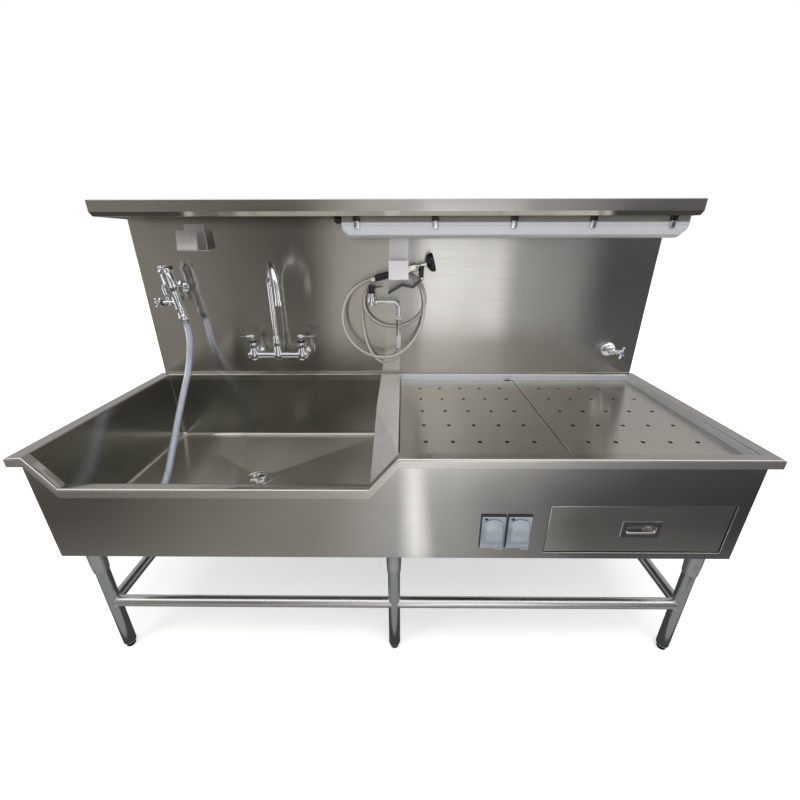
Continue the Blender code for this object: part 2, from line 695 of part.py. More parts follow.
make_rim()
make_bowl()
make_pan()
PAN_MIDDLE = sum(PAN_X) / 2
make_cover("cover_left", (PAN_X[0] + COVER_GAP, PAN_MIDDLE - COVER_GAP / 2), True)
make_cover("cover_right", (PAN_MIDDLE + COVER_GAP / 2, PAN_X[1] - COVER_GAP), False)


# Body sheets, back panel and shelf

OUTLET_XS = {"left": OUTLET_FIRST_X, "right": OUTLET_FIRST_X + OUTLET_PITCH}


def around(middle, size):
    """Limits of a size about its middle."""
    return (middle - size / 2, middle + size / 2)


def make_apron():
    """Front sheet that tucks up into the rim, with the drawer's and the outlets' openings."""
    y = (Y_APRON, Y_APRON + SHEET)
    outline = front_line(SHEET + FIT, END_X) + [(END_X, BODY_LOW), (-END_X, BODY_LOW)]
    apron = prism("front_apron", outline, "Y", y)
    flange_end = END_X - SHEET - FIT
    union(apron, box("flange", (-flange_end, flange_end), (Y_APRON + SHEET / 2, Y_APRON + APRON_FLANGE),
                     (BODY_LOW, BODY_LOW + SHEET)))
    through = (Y_APRON - SHEET, Y_APRON + 2 * SHEET)
    cut(apron,
        box("drawer_hole", (DRAWER_LEFT, DRAWER_RIGHT), through, (DRAWER_LOW, DRAWER_HIGH)),
        *[box("outlet_hole", around(x, OUTLET_WINDOW_WIDTH + 4 * OUTLET_PLATE), through,
              around(OUTLET_Z, OUTLET_WINDOW_HEIGHT + 4 * OUTLET_PLATE)) for x in OUTLET_XS.values()])
    return finish(apron, "brushed_stainless")


def make_end_panel(name, side):
    """End sheet with a flange along its bottom; side is -1 or 1."""
    y = (Y_APRON + SHEET + FIT, Y_PANEL - FIT)
    face = sorted((side * END_X, side * (END_X - SHEET)))
    flange = sorted((side * END_X, side * (END_X - END_FLANGE)))
    panel = box(name, face, y, (BODY_LOW, RIM_HEIGHT - SHEET - FIT))
    flange_y = (y[0] + APRON_FLANGE, y[1])
    union(panel, box("flange", flange, flange_y, (BODY_LOW, BODY_LOW + SHEET)))
    return finish(panel, "brushed_stainless")


SHANKS = {
    "faucet_left": (FAUCET_X - FAUCET_CENTRES / 2, FAUCET_Z),
    "faucet_right": (FAUCET_X + FAUCET_CENTRES / 2, FAUCET_Z),
    "aspirator": (ASPIRATOR_X - math.tan(math.radians(ASPIRATOR_LEAN)) * 0.130, ASPIRATOR_LOW + 0.130),
    "spray": (SPRAY_VALVE_X, (SPRAY_VALVE_LOW + SPRAY_VALVE_TOP) / 2),
    "wall": (WALL_VALVE_X, WALL_VALVE_Z),
}


def make_back_panel():
    """Folded panel, open at the back, from the shelf down behind the bowl, with the shanks' holes."""
    top = SHELF_TOP - SHEET - FIT
    panel = box("back_panel", (-PANEL_X, PANEL_X), (Y_PANEL, Y_BACK), (BODY_LOW, top))
    holes = [rod("hole", (x, Y_PANEL - SHEET, z), (x, Y_PANEL + 2 * SHEET, z), SHANK_RADIUS + SHANK_HOLE_GAP, 12)
             for x, z in SHANKS.values()]
    cut(panel, box("inside", (-PANEL_X + SHEET, PANEL_X - SHEET), (Y_PANEL + SHEET, Y_BACK + SHEET),
                   (BODY_LOW + SHEET, top - SHEET)), *holes)
    return finish(panel, "brushed_stainless")


def make_shelf():
    """Inverted pan over the back panel, open at the back."""
    front = Y_PANEL - SHELF_REACH
    shelf = box("top_shelf", (-SHELF_X, SHELF_X), (front, Y_BACK), (SHELF_LOW, SHELF_TOP))
    cut(shelf, box("inside", (-SHELF_X + SHEET, SHELF_X - SHEET), (front + SHEET, Y_BACK + SHEET),
                   (SHELF_LOW - SHEET, SHELF_TOP - SHEET)))
    union(shelf, box("return", (-SHELF_X + SHEET / 2, SHELF_X - SHEET / 2), (front + SHEET / 2, front + SHELF_RETURN),
                     (SHELF_LOW, SHELF_LOW + SHEET)))
    return finish(shelf, "brushed_stainless")


make_apron()
make_end_panel("left_end_panel", -1)
make_end_panel("right_end_panel", 1)
make_back_panel()
make_shelf()


# Base: channels with leg sockets, legs, feet and rails

LEG_XS = {"left": -LEG_X, "middle": 0.0, "right": LEG_X}
LEG_YS = {"front": LEG_Y_FRONT, "rear": LEG_Y_BACK}
LEG_TOP = CHANNEL_LOW - 2 * FIT


def make_channel(place, x):
    """Channel under the body, front to back, with its two welded sockets."""
    limit = END_X - SHEET - FIT
    left = max(x - CHANNEL_WIDTH / 2, -limit)
    right = min(x + CHANNEL_WIDTH / 2, limit)
    y = (Y_APRON + SHEET + FIT, Y_PANEL - FIT)
    channel = box("leg_channel_" + place, (left, right), y, (CHANNEL_LOW, CHANNEL_LOW + CHANNEL_HEIGHT))
    cut(channel, box("inside", (left + SHEET, right - SHEET), (y[0] - SHEET, y[1] + SHEET),
                     (CHANNEL_LOW + SHEET, CHANNEL_LOW + 2 * CHANNEL_HEIGHT)))
    low = CHANNEL_LOW - SOCKET_LENGTH
    weld = CHANNEL_LOW + SHEET / 2
    bore = LEG_RADIUS + FIT
    cup = [(0, weld), (SOCKET_RADIUS, weld), (SOCKET_RADIUS, low + SOCKET_TAPER), (SOCKET_TIP_RADIUS, low),
           (bore, low), (bore, LEG_TOP + FIT), (0, LEG_TOP + FIT)]
    for leg_y in LEG_YS.values():
        union(channel, lathe("socket", cup, (x, leg_y, 0), sides=LEG_SIDES))
    return finish(channel, "brushed_stainless")


def make_leg(name, x, y):
    """Round tube from its socket down to its foot."""
    inner = LEG_RADIUS - LEG_WALL
    profile = [(inner, LEG_BOTTOM), (LEG_RADIUS, LEG_BOTTOM), (LEG_RADIUS, LEG_TOP), (inner, LEG_TOP)]
    return finish(lathe(name, profile, (x, y, 0), sides=LEG_SIDES, ring=True), "brushed_stainless")


def make_foot(name, x, y):
    """Bullet foot whose plug screws into the leg."""
    plug = LEG_RADIUS - LEG_WALL - 2 * FIT
    top = LEG_BOTTOM - FIT
    profile = [(0, 0), (FOOT_PAD_RADIUS, 0), (FOOT_PAD_RADIUS + 0.004, top * 0.35), (LEG_RADIUS - 0.0015, top * 0.6),
               (LEG_RADIUS - 0.0005, top), (plug, top), (plug, top + FOOT_PLUG_LENGTH), (0, top + FOOT_PLUG_LENGTH)]
    return finish(lathe(name, profile, (x, y, 0), sides=ROUND_SIDES), "dark_steel", (x, y, 0))


def rail_tube(name, start, end):
    """Thin tube between two points."""
    axis = Vector(end) - Vector(start)
    inner = RAIL_RADIUS - RAIL_WALL
    profile = [(inner, 0), (RAIL_RADIUS, 0), (RAIL_RADIUS, axis.length), (inner, axis.length)]
    return lathe(name, profile, start, axis, LEG_SIDES, ring=True)


def leg_cutter(x, y):
    return rod("leg_cut", (x, y, RAIL_HEIGHT - 3 * RAIL_RADIUS), (x, y, RAIL_HEIGHT + 3 * RAIL_RADIUS),
               LEG_RADIUS + FIT, LEG_SIDES)


def make_front_rail(name, x0, x1):
    """Front tube, coped to the legs at both ends."""
    y = LEG_Y_FRONT
    rail = rail_tube(name, (x0, y, RAIL_HEIGHT), (x1, y, RAIL_HEIGHT))
    cut(rail, leg_cutter(x0, y), leg_cutter(x1, y))
    return finish(rail, "brushed_stainless")


def make_side_rail(name, x):
    """Side tube, coped to the legs and to the front tube beside it."""
    rail = rail_tube(name, (x, LEG_Y_FRONT, RAIL_HEIGHT), (x, LEG_Y_BACK, RAIL_HEIGHT))
    inward = -math.copysign(3 * LEG_RADIUS, x)
    cut(rail, leg_cutter(x, LEG_Y_FRONT), leg_cutter(x, LEG_Y_BACK),
        rod("rail_cut", (x, LEG_Y_FRONT, RAIL_HEIGHT), (x + inward, LEG_Y_FRONT, RAIL_HEIGHT),
            RAIL_RADIUS + FIT, LEG_SIDES))
    return finish(rail, "brushed_stainless")


for place, leg_x in LEG_XS.items():
    make_channel(place, leg_x)
    for row, leg_y in LEG_YS.items():
        make_leg(f"leg_{row}_{place}", leg_x, leg_y)
        make_foot(f"foot_{row}_{place}", leg_x, leg_y)
make_front_rail("front_rail_left", LEG_XS["left"], LEG_XS["middle"])
make_front_rail("front_rail_right", LEG_XS["middle"], LEG_XS["right"])
make_side_rail("side_rail_left", LEG_XS["left"])
make_side_rail("side_rail_right", LEG_XS["right"])


# Drawer

DRAWER_FACE = Y_APRON + DRAWER_RECESS
FRONT_X = (DRAWER_LEFT + DRAWER_GAP, DRAWER_RIGHT - DRAWER_GAP)
FRONT_Z = (DRAWER_LOW + DRAWER_GAP, DRAWER_HIGH - DRAWER_GAP)
HOUSING_X = (DRAWER_LEFT - HOUSING_MARGIN, DRAWER_RIGHT + HOUSING_MARGIN)
HOUSING_Z = (DRAWER_LOW - HOUSING_MARGIN, DRAWER_HIGH + HOUSING_MARGIN)
TRAY_X = (FRONT_X[0] + RUNNER_WIDTH, FRONT_X[1] - RUNNER_WIDTH)
TRAY_LOW = FRONT_Z[0] + RUNNER_HEIGHT
WING_Z = TRAY_LOW + RUNNER_HEIGHT + FIT
RECESS_X = around(PULL_X, PULL_CUP_WIDTH)
RECESS_Z = around(PULL_Z, PULL_CUP_HEIGHT)


def make_housing():
    """Sleeve behind the apron that the drawer runs in, with a runner on each side."""
    y = (Y_APRON + SHEET + FIT, Y_PANEL - FIT)
    sleeve = box("drawer_housing", HOUSING_X, y, HOUSING_Z)
    cut(sleeve, box("inside", (HOUSING_X[0] + HOUSING_WALL, HOUSING_X[1] - HOUSING_WALL),
                    (y[0] - SHEET, y[1] + SHEET), (HOUSING_Z[0] + HOUSING_WALL, HOUSING_Z[1] - HOUSING_WALL)))
    runner_y = (y[0] + DRAWER_FRONT_DEPTH + SHEET, y[0] + DRAWER_DEPTH)
    z = (WING_Z - RUNNER_HEIGHT, WING_Z - FIT)
    weld = HOUSING_WALL / 2
    union(sleeve,
          box("runner_left", (HOUSING_X[0] + weld, TRAY_X[0] - FIT), runner_y, z),
          box("runner_right", (TRAY_X[1] + FIT, HOUSING_X[1] - weld), runner_y, z))
    return finish(sleeve, "brushed_stainless")


def make_drawer():
    """Folded drawer: hollow front, open tray, and a wing on each side that slides on the runner."""
    front_y = (DRAWER_FACE, DRAWER_FACE + DRAWER_FRONT_DEPTH)
    tray_y = (DRAWER_FACE + SHEET / 2, DRAWER_FACE + DRAWER_DEPTH)
    tray_z = (TRAY_LOW, TRAY_LOW + DRAWER_SIDE_HEIGHT)
    drawer = box("drawer", FRONT_X, front_y, FRONT_Z)
    cut(drawer, box("behind", (FRONT_X[0] + SHEET, FRONT_X[1] - SHEET), (front_y[0] + SHEET, front_y[1] + SHEET),
                    (FRONT_Z[0] + SHEET, FRONT_Z[1] - SHEET)))
    tray = box("tray", TRAY_X, tray_y, tray_z)
    cut(tray, box("tray_inside", (TRAY_X[0] + DRAWER_WALL, TRAY_X[1] - DRAWER_WALL),
                  (DRAWER_FACE + DRAWER_FRONT_DEPTH, tray_y[1] - DRAWER_WALL),
                  (tray_z[0] + DRAWER_WALL, tray_z[1] + SHEET)))
    cut(tray, box("pull_room", (TRAY_X[0] + DRAWER_WALL, TRAY_X[1] - DRAWER_WALL),
                  (DRAWER_FACE + SHEET, DRAWER_FACE + DRAWER_FRONT_DEPTH + SHEET),
                  (tray_z[0] + DRAWER_WALL, tray_z[1] + SHEET)))
    wing_y = (DRAWER_FACE + DRAWER_FRONT_DEPTH + 2 * SHEET, tray_y[1])
    wing_z = (WING_Z, WING_Z + RUNNER_HEIGHT / 2)
    weld = DRAWER_WALL / 2
    union(drawer, tray,
          box("wing_left", (FRONT_X[0], TRAY_X[0] + weld), wing_y, wing_z),
          box("wing_right", (TRAY_X[1] - weld, FRONT_X[1]), wing_y, wing_z))
    cut(drawer, box("pull_hole", RECESS_X, (DRAWER_FACE - SHEET, DRAWER_FACE + 2 * SHEET), RECESS_Z))
    return finish(drawer, "brushed_stainless", (sum(FRONT_X) / 2, DRAWER_FACE, sum(FRONT_Z) / 2))


def make_pull():
    """Recessed pull: a flat frame with a cup behind it and a grip bar across the cup's lower edge."""
    back = DRAWER_FACE - FIT
    plate = box("drawer_pull", around(PULL_X, PULL_WIDTH), (back - PULL_PLATE, back), around(PULL_Z, PULL_HEIGHT))
    cup_x = (RECESS_X[0] + FIT, RECESS_X[1] - FIT)
    cup_z = (RECESS_Z[0] + FIT, RECESS_Z[1] - FIT)
    union(plate, box("cup", cup_x, (back - PULL_PLATE / 2, back + PULL_CUP_DEPTH), cup_z))
    corner = PULL_CUP_HEIGHT * 0.35
    room_x = (cup_x[0] + PULL_PLATE, cup_x[1] - PULL_PLATE)
    room_z = (cup_z[0] + PULL_PLATE, cup_z[1] - PULL_PLATE)
    room = [(room_x[0] + corner, room_z[0]), (room_x[1] - corner, room_z[0]), (room_x[1], room_z[0] + corner),
            (room_x[1], room_z[1] - corner), (room_x[1] - corner, room_z[1]), (room_x[0] + corner, room_z[1]),
            (room_x[0], room_z[1] - corner), (room_x[0], room_z[0] + corner)]
    cut(plate, prism("room", room, "Y", (back - 2 * PULL_PLATE, back + PULL_CUP_DEPTH - PULL_PLATE)))
    grip_z = room_z[0] + corner * 0.3
    union(plate, rod("grip", (room_x[0] + corner * 0.5, back - PULL_PLATE, grip_z),
                     (room_x[1] - corner * 0.5, back - PULL_PLATE, grip_z), corner * 0.35))
    return finish(plate, "polished_chrome")


make_housing()
make_drawer()
make_pull()


# Splash-proof outlets on the apron

OUTLET_FACE = Y_APRON - FIT - OUTLET_PLATE
LID_HINGE_Z = OUTLET_Z + OUTLET_HEIGHT / 2 - LID_MARGIN - LID_FLAT
LID_HINGE_Y = OUTLET_FACE - FIT - LID_FLAT / 2


def make_outlet(place, x):
    """Frame, socket and bulged flip lid of one outlet."""
    window = OUTLET_WINDOW_WIDTH, OUTLET_WINDOW_HEIGHT
    frame = box("outlet_plate_" + place, around(x, OUTLET_WIDTH), (OUTLET_FACE, Y_APRON - FIT),
                around(OUTLET_Z, OUTLET_HEIGHT))
    cut(frame, box("window", around(x, window[0]), (OUTLET_FACE - SHEET, Y_APRON + SHEET), around(OUTLET_Z, window[1])))
    finish(frame, "grey_plastic")

    wide = OUTLET_PLATE
    socket = box("outlet_socket_" + place, around(x, window[0] - 2 * FIT), (OUTLET_FACE + SHEET / 2, Y_APRON + SHEET),
                 around(OUTLET_Z, window[1] - 2 * FIT))
    union(socket, box("case", around(x, window[0] + wide), (Y_APRON, Y_APRON + OUTLET_SOCKET_DEPTH),
                      around(OUTLET_Z, window[1] + wide)))
    for row in (-1, 1):
        face = OUTLET_Z + row * window[1] / 4
        for column in (-1, 1):
            slot_x = x + column * window[0] / 6
            cut(socket, box("slot", around(slot_x, 0.0022), (OUTLET_FACE - SHEET, OUTLET_FACE + 4 * SHEET),
                            around(face, 0.009)))
    finish(socket, "white_plastic")

    low = OUTLET_Z - OUTLET_HEIGHT / 2 + LID_MARGIN
    high = LID_HINGE_Z + LID_FLAT / 2
    flat = OUTLET_FACE - FIT - LID_FLAT
    length = high - low
    swell = [0.14, 0.26, 0.42, 0.60, 0.74, 0.84]
    depth = [0.0, 0.62, 0.94, 1.0, 0.84, 0.0]
    bulge = [(flat - LID_BULGE * d, low + length * s) for s, d in zip(swell, depth)]
    back, round_off = flat + LID_FLAT, LID_FLAT * 0.35
    outline = [(flat, low)] + bulge + [(flat, high - round_off), (flat + round_off, high), (back - round_off, high),
                                       (back, high - round_off), (back, low)]
    lid = prism("outlet_lid_" + place, outline, "X", around(x, OUTLET_WIDTH - 2 * LID_MARGIN))
    hollow = [(y + LID_WALL, z) for y, z in bulge]
    hollow += [(flat + 2 * LID_FLAT, hollow[-1][1]), (flat + 2 * LID_FLAT, hollow[0][1])]
    cut(lid, prism("hollow", hollow, "X", around(x, OUTLET_WIDTH - 2 * LID_MARGIN - 4 * LID_WALL)))
    tab_x = (x + OUTLET_WIDTH / 2 - LID_MARGIN - LID_TAB, x + OUTLET_WIDTH / 2 - LID_MARGIN)
    tab_z = (low - LID_TAB / 3, low + LID_WALL)
    union(lid, box("tab", tab_x, (flat, flat + LID_FLAT), tab_z))
    hole_z = sum(tab_z) / 2
    cut(lid, rod("tab_hole", (sum(tab_x) / 2, flat - LID_FLAT, hole_z), (sum(tab_x) / 2, flat + 2 * LID_FLAT, hole_z),
                 LID_TAB / 10, 8))
    finish(lid, "grey_plastic", (x, LID_HINGE_Y, LID_HINGE_Z))


for place, outlet_x in OUTLET_XS.items():
    make_outlet(place, outlet_x)


# Drain and strainer

def make_drain():
    """Flange, cup and tailpiece clamped round the bowl's drain hole."""
    z = DRAIN_Z
    flange_low = z + FIT
    flange_top = flange_low + SHEET
    clamp_top = z - SHEET - FIT
    cup_low = clamp_top - CUP_DEPTH
    tail_low = cup_low - TAIL_LENGTH
    neck = DRAIN_HOLE - 2 * FIT
    bore = TAIL_RADIUS - TAIL_WALL
    profile = [(DRAIN_CUP, flange_top), (DRAIN_FLANGE * 0.96, flange_top), (DRAIN_FLANGE, flange_low),
               (neck, flange_low), (neck, clamp_top), (DRAIN_FLANGE, clamp_top),
               (DRAIN_FLANGE, clamp_top - 0.010), (neck, clamp_top - 0.010),
               (neck * 0.8, cup_low), (TAIL_RADIUS, cup_low - 0.006), (TAIL_RADIUS, tail_low),
               (bore, tail_low), (bore, cup_low), (DRAIN_CUP * 0.75, cup_low + 0.008), (DRAIN_CUP, clamp_top - 0.010)]
    return finish(lathe("sink_drain", profile, (DRAIN_X, DRAIN_Y, 0), sides=24, ring=True), "polished_chrome")


def make_strainer():
    """Dished basket with a ring of holes and a lifting knob, hung in the drain's cup by its rim."""
    seat = DRAIN_Z + FIT + SHEET + FIT
    rim = STRAINER_RADIUS + 0.006
    low = seat - STRAINER_DEPTH
    floor = STRAINER_RADIUS * 0.72
    wall = 0.0015
    knob = 0.006
    profile = [(0, low), (floor, low), (STRAINER_RADIUS - 0.001, seat), (rim, seat), (rim, seat + wall),
               (STRAINER_RADIUS - 2 * wall, seat + wall), (floor - wall, low + wall), (knob * 0.5, low + wall),
               (knob * 0.5, seat - 0.008), (knob, seat - 0.006), (knob, seat), (0, seat + 0.001)]
    basket = lathe("strainer_basket", profile, (DRAIN_X, DRAIN_Y, 0), sides=24)
    holes = []
    for step in range(STRAINER_HOLES):
        angle = math.tau * (step + 0.2) / STRAINER_HOLES
        x = DRAIN_X + floor * 0.62 * math.cos(angle)
        y = DRAIN_Y + floor * 0.62 * math.sin(angle)
        holes.append(rod("hole", (x, y, low - wall), (x, y, low + 3 * wall), 0.0042, 8))
    cut(basket, *holes)
    return finish(basket, "polished_chrome", (DRAIN_X, DRAIN_Y, seat))


make_drain()
make_strainer()


# Lamp under the shelf

LAMP_Y = (Y_PANEL - LAMP_FRONT, Y_PANEL - LAMP_FRONT + LAMP_WIDTH)


def trough_outline(low, high, inset, slope):
    """Section of the lamp in Y and Z, its lower corners cut off."""
    y = (LAMP_Y[0] + inset, LAMP_Y[1] - inset)
    return [(y[0] + slope, low), (y[1] - slope, low), (y[1], low + slope), (y[1], high), (y[0], high), (y[0], low + slope)]


def make_lamp():
    """Housing with hangers, gear tray and front latches, and the milky cover below it."""
    shelf_underside = SHELF_TOP - SHEET - FIT
    x = (LAMP_LEFT, LAMP_RIGHT)
    housing = box("light_housing", x, LAMP_Y, (LAMP_SEAM, LAMP_TOP))
    cut(housing, box("inside", (x[0] + LAMP_WALL, x[1] - LAMP_WALL), (LAMP_Y[0] + LAMP_WALL, LAMP_Y[1] - LAMP_WALL),
                     (LAMP_SEAM - LAMP_WALL, LAMP_TOP - LAMP_WALL)))
    middle = sum(LAMP_Y) / 2
    tray = (LAMP_SEAM, LAMP_TOP - LAMP_WALL / 2)
    union(housing, box("gear_tray", (x[0] + 6 * LAMP_WALL, x[1] - 6 * LAMP_WALL), around(middle, LAMP_WIDTH / 3), tray))
    for hanger in (x[0] + HANGER_INSET, x[1] - HANGER_INSET):
        union(housing, box("hanger", around(hanger, HANGER_LENGTH), around(middle, HANGER_WIDTH),
                           (LAMP_TOP - LAMP_WALL / 2, shelf_underside)))
    for number in range(LATCH_COUNT):
        at = around(x[0] + LATCH_FIRST + number * LATCH_PITCH, LATCH_WIDTH)
        front = LAMP_Y[0] - FIT
        outline = [(LAMP_Y[0] + LAMP_WALL / 2, LAMP_TOP - LAMP_WALL), (front - LATCH_DEPTH, LAMP_TOP - LAMP_WALL),
                   (front - LATCH_DEPTH, LAMP_SEAM + LATCH_DEPTH), (front - LATCH_DEPTH / 2, LAMP_SEAM - LATCH_DROP),
                   (front, LAMP_SEAM - LATCH_DROP), (front, LAMP_SEAM + LATCH_DEPTH / 2),
                   (LAMP_Y[0] + LAMP_WALL / 2, LAMP_SEAM + LATCH_DEPTH / 2)]
        union(housing, prism("latch", outline, "X", at))
    finish(housing, "grey_plastic")

    slope = LAMP_END_SLOPE
    top = LAMP_SEAM - FIT
    cover = prism("light_diffuser", trough_outline(LAMP_BOTTOM, top, 0, slope), "X", x)
    end_cut = [(x[0] - SHEET, LAMP_BOTTOM - SHEET), (x[0] + slope, LAMP_BOTTOM - SHEET), (x[0] + slope, LAMP_BOTTOM),
               (x[0], LAMP_BOTTOM + slope), (x[0] - SHEET, LAMP_BOTTOM + slope)]
    mirrored = [(x[0] + x[1] - a, b) for a, b in end_cut]
    wide = (LAMP_Y[0] - SHEET, LAMP_Y[1] + SHEET)
    cut(cover, prism("end_left", end_cut, "Y", wide), prism("end_right", mirrored, "Y", wide))
    inside = [(y, z + LAMP_WALL) for y, z in trough_outline(LAMP_BOTTOM, top, LAMP_WALL, slope)]
    cut(cover, prism("inside", inside, "X", (x[0] + slope + LAMP_WALL, x[1] - slope - LAMP_WALL)))
    finish(cover, "milky_plastic")

    gland_z = (LAMP_TOP + LAMP_SEAM) / 2
    start = x[0] - FIT
    profile = [(0, 0), (GLAND_RADIUS * 0.75, 0), (GLAND_RADIUS * 0.75, GLAND_LENGTH * 0.3),
               (GLAND_RADIUS, GLAND_LENGTH * 0.3), (GLAND_RADIUS, GLAND_LENGTH * 0.75),
               (GLAND_RADIUS * 0.55, GLAND_LENGTH), (0, GLAND_LENGTH)]
    profile = [(min(radius, (LAMP_TOP - LAMP_SEAM) * 0.6), height) for radius, height in profile]
    finish(lathe("light_gland", profile, (start, middle, gland_z), (-1, 0, 0), 12), "black_rubber")


make_lamp()


# Hooks on the back panel

def make_hook(name, x, low, lip, plate, rise):
    """Bent strip: plate on the panel, trough floor and front lip."""
    back = Y_PANEL - FIT
    front = back - HOOK_REACH
    t = HOOK_SHEET
    outline = [(back, low + plate), (back - t, low + plate), (back - t, low + rise + t), (front + t, low + t),
               (front + t, low + lip), (front, low + lip), (front, low), (front + t, low), (back, low + rise)]
    return finish(prism(name, outline, "X", around(x, HOOK_WIDTH)), "brushed_stainless")


make_hook("left_hook", LEFT_HOOK_X, LEFT_HOOK_LOW, LEFT_HOOK_LIP, LEFT_HOOK_PLATE, 0)
make_hook("spray_hook", SPRAY_HOOK_X, SPRAY_HOOK_LOW, SPRAY_HOOK_LIP, SPRAY_HOOK_PLATE, HOOK_FLOOR_RISE)


# Fittings

def wall_shank(x, y, z, neck, flange):
    """Neck from a body back to its wall flange, then the threaded shank and lock nut behind the panel."""
    wall = Y_PANEL - y - FIT
    behind = Y_PANEL - y + SHEET + FIT
    profile = [(0, 0), (neck, 0), (neck, wall - 0.014), (flange * 0.7, wall - 0.010), (flange, wall - 0.004),
               (flange, wall), (SHANK_RADIUS, wall), (SHANK_RADIUS, behind), (SHANK_NUT, behind),
               (SHANK_NUT, behind + 0.009), (SHANK_RADIUS * 0.8, behind + 0.009),
               (SHANK_RADIUS * 0.8, behind + SHANK_TAIL), (0, behind + SHANK_TAIL)]
    return lathe("shank", profile, (x, y, z), (0, 1, 0), 12)


def lever(name, x, y, z, side, length, thick):
    """Ring, hub and flat lever on a valve's top; side is the way it points along X."""
    hub = 0.0105
    profile = [(0, 0), (hub * 1.5, 0), (hub * 1.5, 0.006), (hub * 0.8, 0.007), (hub * 0.8, 0.014),
               (hub, 0.018), (hub, 0.030), (hub * 0.6, 0.034), (0, 0.034)]
    handle = lathe(name, profile, (x, y, z), sides=12)
    root = x + side * hub * 0.2
    tip = x + side * length
    low = z + 0.020
    rise = thick
    outline = [(root, low), (tip, low + rise), (tip, low + rise + thick * 0.8), (root, low + thick * 1.4)]
    return union(handle, prism("blade", outline, "Y", around(y, hub * 1.1)))


def make_faucet():
    """Two-valve wall faucet: body with both valves, two levers and the swivelling gooseneck."""
    xs = (FAUCET_X - FAUCET_CENTRES / 2, FAUCET_X + FAUCET_CENTRES / 2)
    y, z = FAUCET_Y, FAUCET_Z
    body = rod("faucet_body", (xs[0], y, z), (xs[1], y, z), FAUCET_BAR, 12)
    for x in xs:
        profile = [(0, z - 0.020), (FAUCET_VALVE * 0.8, z - 0.020), (FAUCET_VALVE, z - 0.012), (FAUCET_VALVE, z + 0.014),
                   (FAUCET_VALVE * 0.75, z + 0.026), (FAUCET_VALVE * 0.75, FAUCET_TOP - 0.010),
                   (FAUCET_VALVE * 0.9, FAUCET_TOP - 0.008), (FAUCET_VALVE * 0.9, FAUCET_TOP), (0, FAUCET_TOP)]
        union(body, lathe("valve", profile, (x, y, 0), sides=12), wall_shank(x, y, z, FAUCET_BAR, 0.024))
    boss = [(0, z - 0.016), (0.018, z - 0.016), (0.020, z), (0.016, z + 0.022), (SPOUT_RADIUS * 1.35, SPOUT_BASE_Z - FIT),
            (0, SPOUT_BASE_Z - FIT)]
    union(body, lathe("boss", boss, (FAUCET_X, y, 0), sides=12))
    finish(body, "polished_chrome")
    for place, x, side in (("left", xs[0], -1), ("right", xs[1], 1)):
        handle = lever(f"faucet_{place}_handle", x, y, FAUCET_TOP + FIT, side, LEVER_LENGTH, 0.006)
        finish(handle, "polished_chrome", (x, y, FAUCET_TOP + FIT))

    forward = Vector((math.sin(math.radians(SPOUT_TURN)), -math.cos(math.radians(SPOUT_TURN)), 0))
    base = Vector((FAUCET_X, y, SPOUT_BASE_Z))
    arch = SPOUT_REACH / 2
    line = [base]
    steps = 12
    for step in range(steps + 1):
        angle = math.pi * step / steps
        along = arch * (1 - math.cos(angle))
        line.append(Vector((base.x, base.y, SPOUT_ARCH_Z + arch * math.sin(angle))) + forward * along)
    line.append(line[-1] - Vector((0, 0, SPOUT_ARCH_Z - SPOUT_OUTLET_Z)))
    spout = pipe("faucet_spout", line, SPOUT_RADIUS, 12)
    tip = line[-1]
    collar = [(0, 0), (SPOUT_RADIUS * 1.35, 0), (SPOUT_RADIUS * 1.35, 0.010), (SPOUT_RADIUS * 0.9, 0.016), (0, 0.016)]
    aerator = [(0, 0), (SPOUT_RADIUS * 1.2, 0), (SPOUT_RADIUS * 1.2, 0.018), (0, 0.018)]
    union(spout, lathe("collar", collar, base, sides=12), lathe("aerator", aerator, tip, sides=12))
    bore = SPOUT_RADIUS * 0.8
    cut(spout, rod("outlet", tip - Vector((0, 0, 0.01)), tip + Vector((0, 0, 0.014)), bore, 12))
    finish(spout, "polished_chrome", base)


ASPIRATOR_FOOT = Vector((ASPIRATOR_X, ASPIRATOR_Y, ASPIRATOR_LOW))
ASPIRATOR_UP = Vector((-math.sin(math.radians(ASPIRATOR_LEAN)), 0, math.cos(math.radians(ASPIRATOR_LEAN))))


